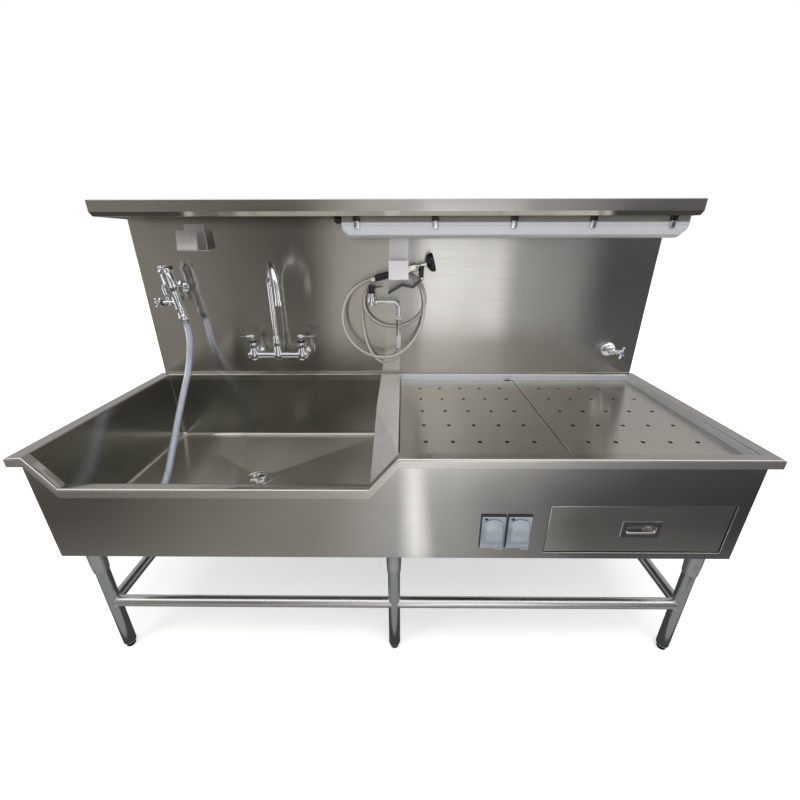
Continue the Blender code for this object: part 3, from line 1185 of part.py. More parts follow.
def make_aspirator():
    """Leaning aspirator: tube, head with cap, side tube, stem with a cross handle, wall shank."""
    foot, up = ASPIRATOR_FOOT, ASPIRATOR_UP
    out = Vector((-up.z, 0, up.x))
    tube, head, length = ASPIRATOR_TUBE, ASPIRATOR_HEAD, ASPIRATOR_LENGTH
    shoulder = length * 0.62
    profile = [(0, 0), (tube * 0.85, 0), (tube, 0.010), (tube, 0.024), (tube * 0.85, 0.028), (tube * 0.85, shoulder - 0.020),
               (tube, shoulder - 0.012), (head, shoulder), (head, length - 0.030), (head * 1.1, length - 0.026),
               (head * 1.1, length - 0.014), (head * 0.6, length - 0.008), (head * 0.6, length), (0, length)]
    body = lathe("aspirator_body", profile, foot, up)
    stem_foot = foot + up * ASPIRATOR_STEM_AT
    level = Vector((-1, 0, 0))
    elbow = stem_foot + out * ASPIRATOR_SIDE_GAP
    crown = foot + up * (shoulder + 0.012)
    union(body,
          rod("stem", stem_foot, stem_foot + level * ASPIRATOR_STEM_LENGTH, ASPIRATOR_STEM, 12),
          pipe("side_tube", [elbow - up * 0.004, crown + out * ASPIRATOR_SIDE_GAP, crown], ASPIRATOR_SIDE_TUBE, 10),
          lathe("side_knob", [(0, 0), (0.007, 0), (0.007, 0.012), (0, 0.012)], foot + up * length * 0.97 + out * head * 0.5,
                out, 10))
    x, z = SHANKS["aspirator"]
    union(body, wall_shank(x, ASPIRATOR_Y, z, 0.011, 0.026))
    finish(body, "polished_chrome")
    hub = stem_foot + level * (ASPIRATOR_STEM_LENGTH + FIT)
    cross_handle("aspirator_handle", hub, level, 0.0085, 0.026, 0.021, 0.0040, 4.0)


def make_spray_valve():
    """Wall valve with the bent pipe and hose sleeve, and its lever."""
    x, y = SPRAY_VALVE_X, SPRAY_VALVE_Y
    low, top, radius = SPRAY_VALVE_LOW, SPRAY_VALVE_TOP, SPRAY_VALVE_RADIUS
    profile = [(0, low), (radius * 0.75, low), (radius, low + 0.008), (radius, top - 0.016),
               (radius * 0.8, top - 0.010), (radius * 0.8, top), (0, top)]
    body = lathe("spray_valve", profile, (x, y, 0), sides=12)
    bend = SPRAY_PIPE_BEND
    line = [(x, y, SPRAY_PIPE_Z)]
    for step in range(6):
        angle = math.radians(90 * step / 5)
        line.append((SPRAY_PIPE_X - bend + bend * math.sin(angle), y, SPRAY_PIPE_Z - bend + bend * math.cos(angle)))
    line.append((SPRAY_PIPE_X, y, SPRAY_SLEEVE_LOW + 0.004))
    thick = SPRAY_SLEEVE_RADIUS
    sleeve = [(0, SPRAY_SLEEVE_LOW), (thick, SPRAY_SLEEVE_LOW), (thick, SPRAY_SLEEVE_TOP - 0.008),
              (SPRAY_PIPE_RADIUS, SPRAY_SLEEVE_TOP), (0, SPRAY_SLEEVE_TOP)]
    shank_x, shank_z = SHANKS["spray"]
    union(body, pipe("pipe", line, SPRAY_PIPE_RADIUS, 10), lathe("sleeve", sleeve, (SPRAY_PIPE_X, y, 0), sides=12),
          wall_shank(shank_x, y, shank_z, 0.0105, SPRAY_VALVE_FLANGE))
    finish(body, "polished_chrome")
    handle = lever("spray_valve_handle", x, y, top + FIT, 1, SPRAY_LEVER_LENGTH, 0.0045)
    finish(handle, "dark_steel", (x, y, top + FIT))


GUN_AXIS = Vector((math.cos(math.radians(GUN_SLOPE)), 0, math.sin(math.radians(GUN_SLOPE))))
GUN_TAIL = Vector((GUN_TAIL_X, GUN_Y, GUN_TAIL_Z))
TRIGGER_PIVOT = Vector((TRIGGER_PIVOT_X, GUN_Y, TRIGGER_PIVOT_Z))


def ribbon(points, thick):
    """Outline of a bent strip of even thickness, in X and Z."""
    upper, lower = [], []
    for number, point in enumerate(points):
        before = points[max(number - 1, 0)]
        after = points[min(number + 1, len(points) - 1)]
        along = Vector((after[0] - before[0], after[1] - before[1])).normalized()
        normal = Vector((-along.y, along.x)) * thick / 2
        upper.append((point[0] + normal.x, point[1] + normal.y))
        lower.append((point[0] - normal.x, point[1] - normal.y))
    return upper + lower[::-1]


def make_spray_gun():
    """Hand spray hung in its hook: grip and body, rubber bell, and the squeeze lever under it."""
    grip = GUN_GRIP_RADIUS
    length = GUN_LENGTH
    tail, stem = GUN_TAIL_RADIUS, GUN_STEM_RADIUS
    shape = [(0, 0), (tail, 0), (tail, 0.061), (grip * 0.8, 0.070), (grip, 0.132), (grip * 0.93, 0.351),
             (grip, 0.544), (grip * 0.85, 0.570), (grip * 0.92, 0.658), (grip * 0.92, 0.825), (stem, 0.868),
             (stem, 0.974), (tail, 0.982), (tail, 1), (0, 1)]
    gun = lathe("spray_gun", [(radius, length * share) for radius, share in shape], GUN_TAIL, GUN_AXIS)
    cheek = TRIGGER_CHEEK
    bore = TRIGGER_PIN
    for side in (-1, 1):
        y = around(GUN_Y + side * (TRIGGER_WIDTH / 2 + FIT + cheek / 2), cheek)
        top = GUN_TAIL_Z + (TRIGGER_PIVOT_X - GUN_TAIL_X) * math.tan(math.radians(GUN_SLOPE))
        eye = TRIGGER_BARREL
        outline = [(TRIGGER_PIVOT_X - 2 * eye, top - eye * 0.7), (TRIGGER_PIVOT_X - eye, TRIGGER_PIVOT_Z - eye),
                   (TRIGGER_PIVOT_X + eye, TRIGGER_PIVOT_Z - eye), (TRIGGER_PIVOT_X + 1.5 * eye, top)]
        union(gun, prism("cheek", outline, "Y", y))
    pin_y = TRIGGER_WIDTH / 2 + FIT + cheek / 2
    union(gun, rod("pin", (TRIGGER_PIVOT_X, GUN_Y - pin_y, TRIGGER_PIVOT_Z),
                   (TRIGGER_PIVOT_X, GUN_Y + pin_y, TRIGGER_PIVOT_Z), bore, 8))
    finish(gun, "black_rubber")

    nose = GUN_TAIL + GUN_AXIS * (length + FIT)
    radius, depth = BUMPER_RADIUS, BUMPER_DEPTH
    bell = [(0, 0), (0.012, 0), (0.016, depth * 0.25), (radius * 0.85, depth * 0.5), (radius, depth * 0.72), (radius, depth * 0.9),
            (radius * 0.9, depth), (radius * 0.72, depth * 0.86), (0, depth * 0.80)]
    finish(lathe("spray_bumper", bell, nose, GUN_AXIS), "black_rubber")

    pivot = TRIGGER_PIVOT
    shape = [(0, 0.036), (0.254, 0.589), (0.582, 0.348), (1, 1)]
    bends = [(pivot.x - TRIGGER_REACH * back, pivot.z - TRIGGER_DROP * down) for back, down in shape]
    trigger = prism("spray_trigger", ribbon(bends, TRIGGER_THICK), "Y", around(GUN_Y, TRIGGER_WIDTH))
    barrel_y = TRIGGER_WIDTH / 2
    union(trigger, rod("barrel", (pivot.x, GUN_Y - barrel_y, pivot.z), (pivot.x, GUN_Y + barrel_y, pivot.z),
                       TRIGGER_BARREL, 12))
    cut(trigger, rod("eye", (pivot.x, GUN_Y - 2 * barrel_y, pivot.z), (pivot.x, GUN_Y + 2 * barrel_y, pivot.z),
                     bore + FIT, 8))
    finish(trigger, "grey_plastic", pivot)


def make_wall_valve():
    """Small wall valve: flange, body, nozzle towards the front and a cross handle on a turned stem."""
    x, y, z = WALL_VALVE_X, WALL_VALVE_Y, WALL_VALVE_Z
    radius = WALL_VALVE_RADIUS
    turn = math.radians(WALL_VALVE_TURN)
    stem = Vector((math.sin(turn), -math.cos(turn), 0))
    nozzle = Vector((-math.cos(turn), -math.sin(turn), 0))
    body = wall_shank(x, y, z, radius * 0.8, WALL_VALVE_FLANGE)
    body.name = "wall_valve_body"
    centre = Vector((x, y, z))
    ball = [(0, -radius), (radius * 0.72, -radius * 0.7), (radius, 0), (radius * 0.72, radius * 0.7), (0, radius)]
    union(body, lathe("ball", ball, centre, sides=12),
          rod("stem", centre, centre + stem * WALL_VALVE_STEM, radius * 0.62, 12),
          rod("nozzle", centre, centre + nozzle * WALL_VALVE_STEM, radius * 0.66, 12))
    cut(body, rod("bore", centre + nozzle * WALL_VALVE_STEM * 0.6, centre + nozzle * WALL_VALVE_STEM * 1.5,
                  radius * 0.4, 12))
    finish(body, "polished_chrome")
    hub = centre + stem * (WALL_VALVE_STEM + FIT)
    cross_handle("wall_valve_handle", hub, stem, 0.0095, 0.016, WALL_VALVE_ARM, 0.0042, 12.0)


make_faucet()
make_aspirator()
make_spray_valve()
make_spray_gun()
make_wall_valve()


# Hoses

def smooth_line(points, spacing):
    """Points at about an even spacing on a smooth curve through some route points."""
    knots = [Vector(point) for point in points]
    knots = [2 * knots[0] - knots[1]] + knots + [2 * knots[-1] - knots[-2]]
    line = []
    for before, start, end, after in zip(knots, knots[1:], knots[2:], knots[3:]):
        steps = max(2, round((end - start).length / spacing))
        for step in range(steps):
            t = step / steps
            line.append(0.5 * (2 * start + (end - before) * t + (2 * before - 5 * start + 4 * end - after) * t ** 2
                               + (3 * start - before - 3 * end + after) * t ** 3))
    return line + [knots[-2]]


# Clear hose from the foot of the aspirator down to the bowl's floor, where its end lies, as
# (right of the aspirator's foot, ahead of the panel face, height).
CLEAR_HOSE_ROUTE = [
    (0.0045, 0.084, RIM_HEIGHT + 0.174), (0.0005, 0.100, RIM_HEIGHT + 0.114), (-0.0015, 0.140, RIM_HEIGHT + 0.043),
    (-0.0025, 0.185, RIM_HEIGHT - 0.008), (-0.0035, 0.275, BOWL_FLOOR + BOWL_DEPTH * 0.6393),
    (-0.0025, 0.360, BOWL_FLOOR + BOWL_DEPTH * 0.3180), (0.0005, 0.420, BOWL_FLOOR + 0.037),
    (0.0065, 0.475, BOWL_FLOOR + 0.011), (0.0165, 0.535, BOWL_FLOOR + 0.008),
]
clear_knots = [ASPIRATOR_FOOT - ASPIRATOR_UP * 2 * CLEAR_HOSE_RADIUS]
clear_knots += [(ASPIRATOR_X + right, Y_PANEL - out, height) for right, out, height in CLEAR_HOSE_ROUTE]
clear_line = [ASPIRATOR_FOOT - ASPIRATOR_UP * FIT] + smooth_line(clear_knots, 4 * CLEAR_HOSE_RADIUS)
finish(swept_curve("aspirator_hose", clear_line, CLEAR_HOSE_RADIUS, 10), "clear_vinyl")

# Spray hose: quarter turns between these extremes, seen from the front: down from the sleeve, then
# left, over the hook, right, low, left, over the hook again, right, the low of the big loop, and left,
# as (across, ahead of the panel face, above the rim).
SPRAY_HOSE_TURNS = [
    (-0.048, 0.0440, 0.0600), (-0.143, 0.0100, 0.2560), (0.010, 0.0110, 0.4380), (0.122, 0.0105, 0.3210),
    (-0.010, 0.0160, 0.2120), (-0.132, 0.0300, 0.3160), (0.010, 0.0280, 0.4368), (0.117, 0.0320, 0.3010),
    (-0.050, 0.0760, 0.0920), (-0.219, 0.0700, 0.2540),
]
TURN_ENDS = [(SPRAY_PIPE_X, SPRAY_VALVE_Y, SPRAY_SLEEVE_LOW - FIT - 2 * SPRAY_HOSE_RADIUS)]
TURN_ENDS += [(across, Y_PANEL - out, RIM_HEIGHT + rise) for across, out, rise in SPRAY_HOSE_TURNS]


def last_turn(left, end, slope):
    """Top of the quarter ellipse that leaves left upright and has the given slope at end, and its angle there."""
    run = end[0] - left[0]
    rise = end[2] - left[2]
    ratio = math.tan(slope) * run / rise
    angle = math.acos(ratio / (1 - ratio))
    return (left[0] + run / (1 - math.cos(angle)), end[1], left[2] + rise / math.sin(angle)), angle


def quarter_turns(ends, last):
    """Line of quarter ellipses, alternately leaving upright and level; the last one stops at an angle."""
    line = []
    steps = LOOP_POINTS // 4
    turns = len(ends) - 1
    for number in range(turns):
        start, end = Vector(ends[number]), Vector(ends[number + 1])
        whole = last if number == turns - 1 else math.pi / 2
        for step in range(steps):
            angle = whole * step / steps
            quick, slow = math.sin(angle), 1 - math.cos(angle)
            across, upward = (slow, quick) if number % 2 == 0 else (quick, slow)
            share = step / steps
            ease = share * share * (3 - 2 * share)
            move = end - start
            line.append(start + Vector((move.x * across, move.y * ease, move.z * upward)))
    return line


def least_gap(line, radius):
    """Smallest gap between turns of a tube, on points that lie more than a bend apart along it."""
    lengths = [0.0]
    for start, end in zip(line, line[1:]):
        lengths.append(lengths[-1] + (end - start).length)
    dense = []
    for start, end, far in zip(line, line[1:], lengths):
        for step in range(4):
            dense.append((start.lerp(end, step / 4), far + (end - start).length * step / 4))
    gaps = [(a - b).length - 2 * radius for n, (a, s) in enumerate(dense) for b, t in dense[n:] if t - s > 6 * radius]
    return min(gaps), lengths[-1]


SLEEVE_END = Vector((SPRAY_PIPE_X, SPRAY_VALVE_Y, SPRAY_SLEEVE_LOW - FIT))
HOSE_END = GUN_TAIL - GUN_AXIS * FIT
STRAIGHT_END = HOSE_END - GUN_AXIS * 2 * SPRAY_HOSE_RADIUS
top_end, last_angle = last_turn(TURN_ENDS[-1], STRAIGHT_END, math.radians(GUN_SLOPE))
hose_line = [SLEEVE_END] + quarter_turns(TURN_ENDS + [top_end], last_angle) + [STRAIGHT_END, HOSE_END]
hose_gap, hose_length = least_gap(hose_line, SPRAY_HOSE_RADIUS)
print(f"spray hose: length {hose_length:.3f} m, least gap between turns {hose_gap * 1000:.2f} mm")
finish(swept_curve("spray_hose", hose_line, SPRAY_HOSE_RADIUS, 6), "steel_hose")
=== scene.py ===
"""Embalming sink station: the dressed model, its studio and its camera.

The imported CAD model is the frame. Each section below is one piece of the station or one group of
like pieces, in the order in which the station is put together. Units are metres.
"""
import math

import bmesh
import bpy
from mathutils import Matrix, Vector


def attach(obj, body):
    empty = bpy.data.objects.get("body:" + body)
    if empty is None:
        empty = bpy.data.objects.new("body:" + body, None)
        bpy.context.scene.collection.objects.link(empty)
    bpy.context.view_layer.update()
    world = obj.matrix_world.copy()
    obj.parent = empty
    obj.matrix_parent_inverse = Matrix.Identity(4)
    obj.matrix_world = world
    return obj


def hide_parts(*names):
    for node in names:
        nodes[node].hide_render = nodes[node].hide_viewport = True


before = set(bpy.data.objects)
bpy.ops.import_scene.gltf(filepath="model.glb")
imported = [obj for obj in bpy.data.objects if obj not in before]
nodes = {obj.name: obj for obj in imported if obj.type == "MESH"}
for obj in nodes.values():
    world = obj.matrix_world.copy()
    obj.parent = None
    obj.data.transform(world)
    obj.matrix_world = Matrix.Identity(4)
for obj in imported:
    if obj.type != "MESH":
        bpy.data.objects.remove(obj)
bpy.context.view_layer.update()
scene = bpy.context.scene
scene.view_settings.view_transform = "Standard"


# Camera
# A phone's wide lens at eye height, close in front of the sink and looking down at it.
# The square frame takes in the whole station with a white margin.

CAMERA_PLACE = (0.0301, -1.2871, 1.4079)
CAMERA_PITCH, CAMERA_YAW, CAMERA_ROLL = 0.393660, -0.008546, 0.001873   # radians

lens = bpy.data.cameras.new("photo_camera")
lens.sensor_width = 36.0
lens.lens = 17.046
camera = bpy.data.objects.new("photo_camera", lens)
scene.collection.objects.link(camera)
camera.matrix_world = (Matrix.Translation(CAMERA_PLACE) @ Matrix.Rotation(-CAMERA_YAW, 4, "Z")
                       @ Matrix.Rotation(math.pi / 2 - CAMERA_PITCH, 4, "X")
                       @ Matrix.Rotation(-CAMERA_ROLL, 4, "Z"))
scene.camera = camera


# Studio
# A white room with a pale floor and two soft lamps. Grey cards, which only reflections see, stand in
# for the darker workshop in front of the station, so that the bare steel shows tones.

ROOM_FILL = 0.62             # light from all round, beside the lamps
FLOOR_LIFT = 0.42            # what the camera sees on the floor beyond the light that falls on it
WARM, COOL = (1.05, 1.0, 0.93), (0.99, 1.0, 1.02)
FLOOR, FLOOR_Z = (-40.0, 40.0), -0.0005
AIM = Vector((0, 0, 0.9))    # what the lamps point at
HALL = 6.0                   # half the width of the workshop
ACROSS = (-HALL, HALL)


def srgb(code):
    """Linear colour of an sRGB hex value."""
    values = [int(code[i:i + 2], 16) / 255 for i in (1, 3, 5)]
    return (*[v / 12.92 if v <= 0.04045 else ((v + 0.055) / 1.055) ** 2.4 for v in values], 1.0)


def add(tree, kind, settings=None, inputs=None):
    """One node of a tree with its settings; an input takes a value or another node's socket."""
    new = tree.nodes.new(kind)
    for key, value in (settings or {}).items():
        setattr(new, key, value)
    for key, value in (inputs or {}).items():
        if isinstance(value, bpy.types.NodeSocket):
            tree.links.new(value, new.inputs[key])
        else:
            new.inputs[key].default_value = value
    return new


def new_material(name):
    """Material with its node tree and its shader."""
    material = bpy.data.materials.new(name)
    material.use_nodes = True
    return material, material.node_tree, material.node_tree.nodes["Principled BSDF"]


def plain_mesh(obj):
    """The object's mesh with its modifiers applied, in place of what it had."""
    bpy.context.view_layer.update()
    mesh = bpy.data.meshes.new_from_object(obj.evaluated_get(bpy.context.evaluated_depsgraph_get()))
    obj.modifiers.clear()
    obj.data = mesh
    return mesh


def place(name, bm, materials, smooth=35, sheet=0.0, even=False):
    """Object in the scene from a bmesh, shaded smooth up to an angle.

    sheet gives a bent surface the thickness of its metal, inwards. even keeps flat faces flat to
    the eye beside rounded edges.
    """
    mesh = bpy.data.meshes.new(name)
    bm.to_mesh(mesh)
    bm.free()
    for material in materials if isinstance(materials, (list, tuple)) else [materials]:
        mesh.materials.append(material)
    obj = bpy.data.objects.new(name, mesh)
    scene.collection.objects.link(obj)
    if sheet:
        wall = obj.modifiers.new("sheet", "SOLIDIFY")
        wall.thickness, wall.offset, wall.use_even_offset = sheet, -1.0, True
        mesh = plain_mesh(obj)
    mesh.shade_smooth()
    mesh.set_sharp_from_angle(angle=math.radians(smooth))
    if even:
        normals = obj.modifiers.new("even", "WEIGHTED_NORMAL")
        normals.keep_sharp = True
        mesh = plain_mesh(obj)
    mesh.name = name
    return obj


def quad(name, corners, material):
    """Flat four-cornered stage piece."""
    bm = bmesh.new()
    bm.faces.new([bm.verts.new(corner) for corner in corners])
    obj = place(name, bm, material)
    return obj


def level_corners(x, y, z):
    """Corners of a flat rectangle."""
    return [(x[0], y[0], z), (x[1], y[0], z), (x[1], y[1], z), (x[0], y[1], z)]


def shown(tree):
    """1 where the camera sees a surface, also in a mirror or through glass."""
    rays = add(tree, "ShaderNodeLightPath")
    seen = add(tree, "ShaderNodeMath", {"operation": "MAXIMUM"},
               {0: rays.outputs["Is Camera Ray"], 1: rays.outputs["Is Glossy Ray"]})
    return add(tree, "ShaderNodeMath", {"operation": "MAXIMUM"},
               {0: seen.outputs[0], 1: rays.outputs["Is Transmission Ray"]}).outputs[0]


world = bpy.data.worlds.new("white_studio")
world.use_nodes = True
scene.world = world
tree = world.node_tree
level = add(tree, "ShaderNodeMath", {"operation": "MULTIPLY_ADD"},
            {0: shown(tree), 1: 1.0 - ROOM_FILL, 2: ROOM_FILL})
sky = tree.nodes["Background"]
sky.inputs["Color"].default_value = (1, 1, 1, 1)
tree.links.new(level.outputs[0], sky.inputs["Strength"])

# The floor: matt pale paint. It fades to the white of the room a few metres away, with no horizon.
paint, tree, shader = new_material("pale_floor_paint")
shader.inputs["Roughness"].default_value = 0.9
shader.inputs["Specular IOR Level"].default_value = 0.0
shader.inputs["Emission Color"].default_value = (1, 1, 1, 1)
spot = add(tree, "ShaderNodeTexCoord").outputs["Object"]
spots = add(tree, "ShaderNodeTexNoise", {}, {"Vector": spot, "Scale": 1.2, "Detail": 3.0})
pale = add(tree, "ShaderNodeValToRGB", {}, {"Fac": spots.outputs["Fac"]})
pale.color_ramp.elements[0].color = srgb("#F3F3F1")
pale.color_ramp.elements[1].color = srgb("#F7F7F5")
tree.links.new(pale.outputs["Color"], shader.inputs["Base Color"])
away = add(tree, "ShaderNodeVectorMath", {"operation": "LENGTH"}, {0: spot})
fade = add(tree, "ShaderNodeMapRange", {"interpolation_type": "SMOOTHSTEP"},
           {"Value": away.outputs["Value"], "From Min": 1.3, "From Max": 4.5, "To Min": FLOOR_LIFT,
            "To Max": 0.9})
lift = add(tree, "ShaderNodeMath", {"operation": "MULTIPLY"}, {0: shown(tree), 1: fade.outputs["Result"]})
tree.links.new(lift.outputs[0], shader.inputs["Emission Strength"])
quad("floor", level_corners(FLOOR, FLOOR, FLOOR_Z), paint)

for name, spot, size, power in (("ceiling_lamp", (0.3, -1.2, 3.4), 2.6, 60),
                                ("left_lamp", (-2.8, -2.2, 2.6), 1.6, 26)):
    light = bpy.data.lights.new(name, "AREA")
    light.size = size
    light.energy = power
    lamp = bpy.data.objects.new(name, light)
    scene.collection.objects.link(lamp)
    lamp.matrix_world = (Matrix.Translation(spot)
                         @ (Vector(spot) - AIM).to_track_quat("Z", "Y").to_matrix().to_4x4())
    lamp.visible_glossy = False


def tone_card(name, corners, tones):
    """Card that only reflections see. Its tones are one number, or a few (X, tone) along it."""
    material, tree = new_material(name)[:2]
    tree.nodes.clear()
    glow = add(tree, "ShaderNodeEmission")
    add(tree, "ShaderNodeOutputMaterial", {}, {"Surface": glow.outputs[0]})
    if isinstance(tones, float):
        glow.inputs["Color"].default_value = (tones, tones, tones, 1.0)
    else:
        spot = add(tree, "ShaderNodeTexCoord").outputs["Object"]
        along = add(tree, "ShaderNodeSeparateXYZ", {}, {0: spot}).outputs["X"]
        share = add(tree, "ShaderNodeMapRange", {}, {"Value": along, "From Min": -HALL, "From Max": HALL})
        ramp = add(tree, "ShaderNodeValToRGB", {}, {"Fac": share.outputs["Result"]})
        ramp.color_ramp.interpolation = "EASE"
        bands = ramp.color_ramp.elements
        while len(bands) < len(tones):
            bands.new(0.5)
        for band, (x, tone) in zip(bands, tones):
            band.position = (x + HALL) / (2 * HALL)
            band.color = (*[tone * c for c in (WARM if x < 0 else COOL)], 1.0)
        tree.links.new(ramp.outputs["Color"], glow.inputs["Color"])
    card = quad(name, corners, material)
    card.visible_camera = card.visible_diffuse = False
    card.visible_shadow = card.visible_transmission = False


def upright_card(name, x, y, z, tones):
    """Card that stands square to Y."""
    tone_card(name, [(x[0], y, z[0]), (x[1], y, z[0]), (x[1], y, z[1]), (x[0], y, z[1])], tones)


def level_card(name, x, y, z, tones):
    """Card that lies flat."""
    tone_card(name, level_corners(x, y, z), tones)


# The wall opposite is dim, with a pale doorway right of the middle and a paler upper part.
upright_card("workshop_wall", ACROSS, -3.0, (-0.2, 1.95),
             [(-3.2, 0.30), (-1.2, 0.10), (-0.7, 0.50), (0.2, 0.55),
              (0.3, 1.40), (1.2, 1.20), (1.5, 0.50), (2.1, 0.40), (2.6, 0.10)])
upright_card("workshop_upper_wall", ACROSS, -3.0, (1.95, 4.0),
             [(-1.5, 0.16), (0.2, 0.75), (1.3, 0.65), (3.0, 0.25)])
upright_card("workshop_wall_top", ACROSS, -2.99, (1.69, 1.95),
             [(-3.0, 0.28), (-0.9, 0.14), (-0.3, 0.60), (0.4, 0.50), (2.2, 0.16)])

# A dark gantry, high windows and daylight through the roof.
tone_card("workshop_gantry", [(0.9, -2.98, 3.15), (4.4, -2.98, 1.97), (6, -2.98, 4.0), (0.9, -2.98, 4.0)],
          0.09)
upright_card("workshop_windows", (-3.6, -0.7), -2.98, (3.35, 4.0), 0.60)
level_card("workshop_roof", ACROSS, (-3.0, 0.3), 4.0, 1.50)

# The floor takes daylight through the doorway and is dim near the station and beneath it.
level_card("workshop_floor_far", ACROSS, (-3.0, -1.9), 0.001,
           [(-3.0, 0.35), (-1.2, 0.50), (-0.4, 1.00), (0.4, 1.90), (1.0, 1.50), (1.7, 0.40), (2.6, 0.20)])
level_card("workshop_floor", ACROSS, (-1.9, -0.8), 0.001,
           [(-2.0, 0.08), (-0.5, 0.32), (0.0, 0.55), (0.1, 1.60), (0.2, 0.50), (0.7, 0.20), (1.0, 0.06),
            (2.2, 0.05)])
level_card("workshop_floor_near", ACROSS, (-0.8, -0.4), 0.001, 0.34)
level_card("workshop_floor_below", ACROSS, (-0.4, 3.0), 0.001, 0.07)
upright_card("workshop_end", ACROSS, 1.0, (-0.2, 4.0), 0.45)


# Base: channels and leg sockets
# Three folded channels under the body, front to back. Each has two turned sockets welded to it,
# which taper at the mouth and hold a leg with a grub screw.

LEG_XS, LEG_YS = (-1.003, 0.0, 1.003), (-0.3165, 0.290)
LEG_RADIUS, LEG_WALL, LEG_BOTTOM, LEG_TOP = 0.02065, 0.0015, 0.022, 0.4937
CHANNEL_LOW, CHANNEL_HEIGHT, CHANNEL_HALF = 0.4943, 0.015, 0.045
CHANNEL_Y = (-0.3747, 0.3497)
SOCKET_LENGTH, BODY_HALF = 0.120, 1.0487
SHEET = 0.002
FIT = 0.0003                 # clearance between pieces that seat on each other


def brushed_steel(name, grain, code="#C6C3BD", rough=0.17, stretch=0.95, wave=0.6, metal=1.0):
    """Stainless sheet with a brushed finish along one axis.

    The eye gets reflections drawn out across the grain, hair lines along it, faint wipe marks, and
    the slow waves of thin sheet. Hair lines are about 0.3 mm apart; 3 mm is as fine as shows here.
    """
    material, tree, shader = new_material(name)
    shader.inputs["Metallic"].default_value = metal
    shader.inputs["Anisotropic"].default_value = stretch
    spot = add(tree, "ShaderNodeTexCoord").outputs["Object"]
    along, across = 1 / 0.30, 1 / 0.003
    lines = add(tree, "ShaderNodeMapping", {},
                {"Vector": spot, "Scale": [along if axis == grain else across for axis in "XYZ"]})
    hair = add(tree, "ShaderNodeTexNoise", {},
               {"Vector": lines.outputs[0], "Scale": 1.0, "Detail": 2.0, "Roughness": 0.6})
    wipes = add(tree, "ShaderNodeTexNoise", {}, {"Vector": spot, "Scale": 1 / 0.25, "Detail": 2.0})
    tone = add(tree, "ShaderNodeValToRGB", {}, {"Fac": hair.outputs["Fac"]})
    base = srgb(code)
    tone.color_ramp.elements[0].position, tone.color_ramp.elements[1].position = 0.3, 0.7
    tone.color_ramp.elements[0].color = (*[c * 0.965 for c in base[:3]], 1.0)
    tone.color_ramp.elements[1].color = (*[min(c * 1.03, 1.0) for c in base[:3]], 1.0)
    tree.links.new(tone.outputs["Color"], shader.inputs["Base Color"])
    gloss = add(tree, "ShaderNodeMapRange", {},
                {"Value": wipes.outputs["Fac"], "From Min": 0.3, "From Max": 0.7,
                 "To Min": rough - 0.02, "To Max": rough + 0.03})
    tree.links.new(gloss.outputs["Result"], shader.inputs["Roughness"])
    if wave:
        slow = add(tree, "ShaderNodeTexNoise", {}, {"Vector": spot, "Scale": 1 / 0.40, "Detail": 1.0})
        waves = add(tree, "ShaderNodeBump", {},
                    {"Height": slow.outputs["Fac"], "Strength": 1.0, "Distance": 0.001 * wave})
        tree.links.new(waves.outputs["Normal"], shader.inputs["Normal"])
    # the reflections stretch square to the grain, in the plane of the sheet
    axis = {"X": (1, 0.04, 0), "Y": (0.04, 1, 0), "Z": (0.03, 0.03, 1)}[grain]
    tangent = add(tree, "ShaderNodeVectorMath", {"operation": "CROSS_PRODUCT"},
                  {0: add(tree, "ShaderNodeNewGeometry").outputs["Normal"], 1: axis})
    tree.links.new(tangent.outputs[0], shader.inputs["Tangent"])
    return material


def turned(bm, profile, origin, axis=(0, 0, 1), sides=32):
    """Add a body turned from a (radius, height) profile; one that stays off the axis closes on itself."""
    turn = Vector((0, 0, 1)).rotation_difference(Vector(axis)).to_matrix()
    start = Vector(origin)
    rings = []
    for radius, height in profile:
        steps = [math.tau * n / sides for n in range(sides)] if radius > 1e-7 else [0.0]
        rings.append([bm.verts.new(start + turn @ Vector((radius * math.cos(a), radius * math.sin(a),
                                                          height))) for a in steps])
    pairs = list(zip(rings, rings[1:]))
    if len(rings[0]) > 1 and len(rings[-1]) > 1:
        pairs.append((rings[-1], rings[0]))
    for low, high in pairs:
        for n in range(sides):
            m = (n + 1) % sides
            corners = [low[n % len(low)], low[m % len(low)], high[m % len(high)], high[n % len(high)]]
            corners = list(dict.fromkeys(corners))
            if len(corners) > 2:
                bm.faces.new(corners)


def skin(bm, near, far):
    """Add the faces between two rings of as many points."""
    for n in range(len(near)):
        bm.faces.new((near[n - 1], near[n], far[n], far[n - 1]))


def tube(bm, line, radius, sides=20, closed=False):
    """Add a round tube along points, with flat ends, or one that closes on itself."""
    line = [Vector(point) for point in line]
    count = len(line)
    rings, across = [], None
    for n, point in enumerate(line):
        before = line[n - 1] if closed or n else line[0]
        after = line[(n + 1) % count] if closed or n < count - 1 else line[-1]
        along = (after - before).normalized()
        if across is None:
            across = along.orthogonal()
        across = (across - along * across.dot(along)).normalized()
        other = along.cross(across)
        wide = radius[n] if isinstance(radius, (list, tuple)) else radius
        rings.append([bm.verts.new(point + (across * math.cos(a) + other * math.sin(a)) * wide)
                      for a in (math.tau * k / sides for k in range(sides))])
    for near, far in zip(rings, rings[1:] + (rings[:1] if closed else [])):
        skin(bm, near, far)
    if not closed:
        bm.faces.new(rings[0][::-1])
        bm.faces.new(rings[-1])


def slab(bm, outline, axis, limits):
    """Add an outline extruded along an axis; its points lie in the other two axes, in X, Y, Z order."""
    loops = []
    for limit in limits:
        points = [list(point) for point in outline]
        for point in points:
            point.insert("XYZ".index(axis), limit)
        loops.append([bm.verts.new(point) for point in points])
    near, far = loops
    bm.faces.new(near[::-1])
    bm.faces.new(far)
    skin(bm, near, far)


